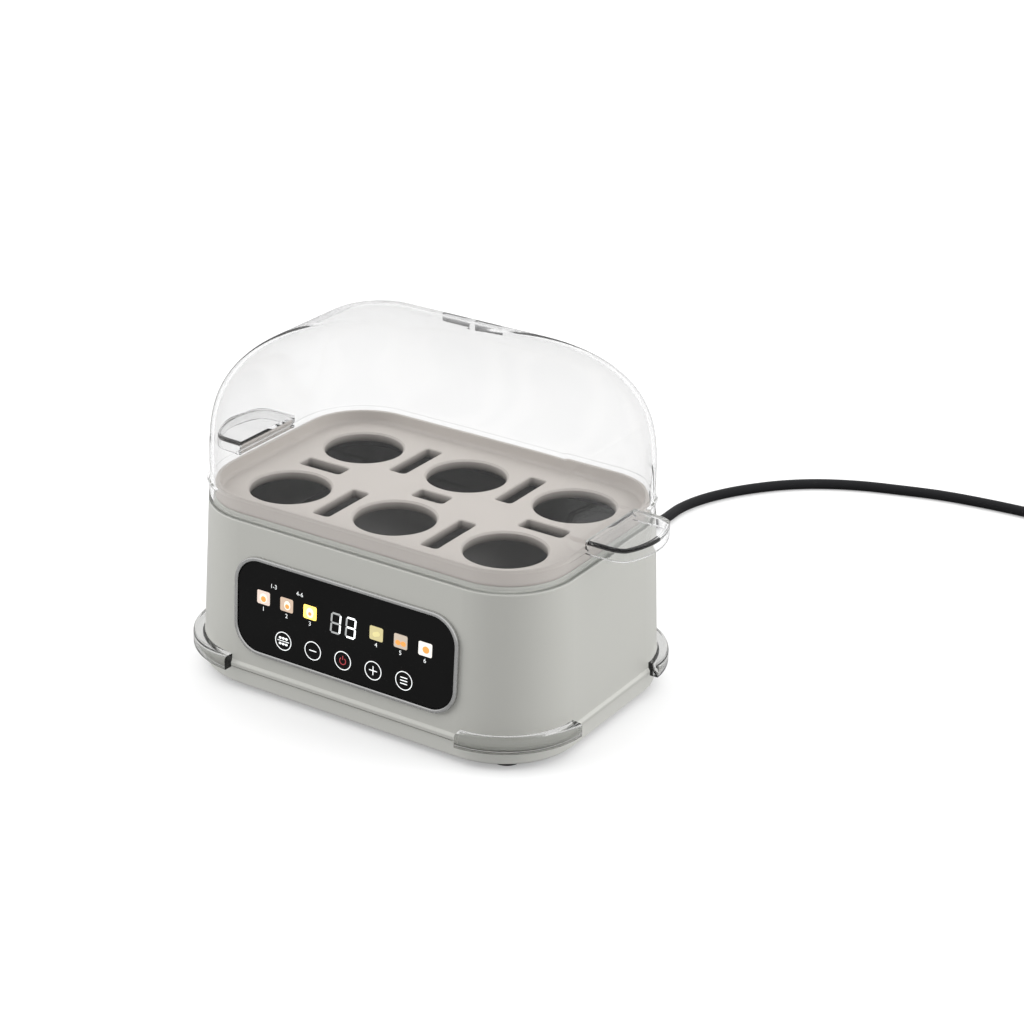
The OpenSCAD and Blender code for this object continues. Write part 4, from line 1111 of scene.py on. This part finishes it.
# %% Pan and hidden pieces
softened("heating_pan", "steel_pan", "pan_steel", 0.3)
softened("pan_seal", "silicone_seal", "seal_rubber", 0.3)
looks = {part["node"]: part["material_slot"] for part in frame["record"]["subparts"]}
for name, node in frame["nodes"].items():
    node.data.materials.clear()
    node.data.materials.append(finishes[looks[name]])
print("finished solids:", len(looks))

# %% [markdown]
# ## Floor and light
# The cooker stands on a pale seamless floor under soft light from above, with one soft lamp to the
# left of the front and a smaller, nearer one to the right, so that the rounded corner between them
# stays darker. A white floor would throw so much light back up that the walls went flat, and
# photographers put dark cards beside the product for this. Here the floor looks white, seen
# directly or through the lid, and gives back only a card's share to what stands on it: the Light
# Path node tells the two apart, and a Mix Shader switches between two plain surfaces. The sky does
# the same.

# %% The floor
floor_half = 9000.0
corners = floor_half * np.array([[-1, -1, 0], [1, -1, 0], [1, 1, 0], [-1, 1, 0]])
floor = placed("floor", raw_mesh("floor", [(corners, [[0, 1, 2, 3]])]))
paint = Paint("floor_paint", Base_Color=shade(grey(0.56)), Roughness=0.9,
              Emission_Color=shade(grey(1.0)), Emission_Strength=0.31)
diffuse_ray, glossy_ray, clear_ray = (paint.add("ShaderNodeLightPath", out=i) for i in (2, 3, 6))
card = paint.add("ShaderNodeBsdfDiffuse", {"Color": shade(grey(0.32))})
floor.data.materials.append(paint.mixed((diffuse_ray + glossy_ray) * (1 - clear_ray), card))


# %% Lamps
def lamp(name, kind, power):
    """A lamp that lights surfaces but isn't seen in glossy or clear ones."""
    light = placed(name, bpy.data.lights.new(name, kind))
    light.data.energy = power
    light.visible_glossy = light.visible_transmission = False
    return light


def softbox(name, place, size, power, aim=(0, 0, 0.08)):
    """A square lamp at a place, facing the cooker. Places and sizes are in metres."""
    light = lamp(name, "AREA", power)
    light.data.size, light.location = size, place
    light.rotation_euler = (Vector(aim) - Vector(place)).to_track_quat("-Z", "Y").to_euler()


sky = lamp("sky_lamp", "SUN", 2.6)
sky.data.angle = math.radians(100)
sky.rotation_euler = (math.radians(-11), math.radians(-10), 0)
softbox("front_left", (-2.2, -1.7, 1.2), 2.0, 54)
softbox("right_side", (2.0, 0.9, 0.9), 1.4, 38)
# %% The sky's two strengths
world = bpy.data.worlds.new("studio")
world.use_nodes = True
nodes, links = world.node_tree.nodes, world.node_tree.links
background = nodes["Background"]
background.inputs["Color"].default_value = shade(grey(1.0))
rays, strength = nodes.new("ShaderNodeLightPath"), nodes.new("ShaderNodeMapRange")
links.new(rays.outputs["Is Diffuse Ray"], strength.inputs["Value"])
strength.inputs["To Min"].default_value, strength.inputs["To Max"].default_value = 1.0, 0.50
links.new(strength.outputs["Result"], background.inputs["Strength"])
bpy.context.scene.world = world
bpy.context.scene.view_settings.view_transform = "Standard"
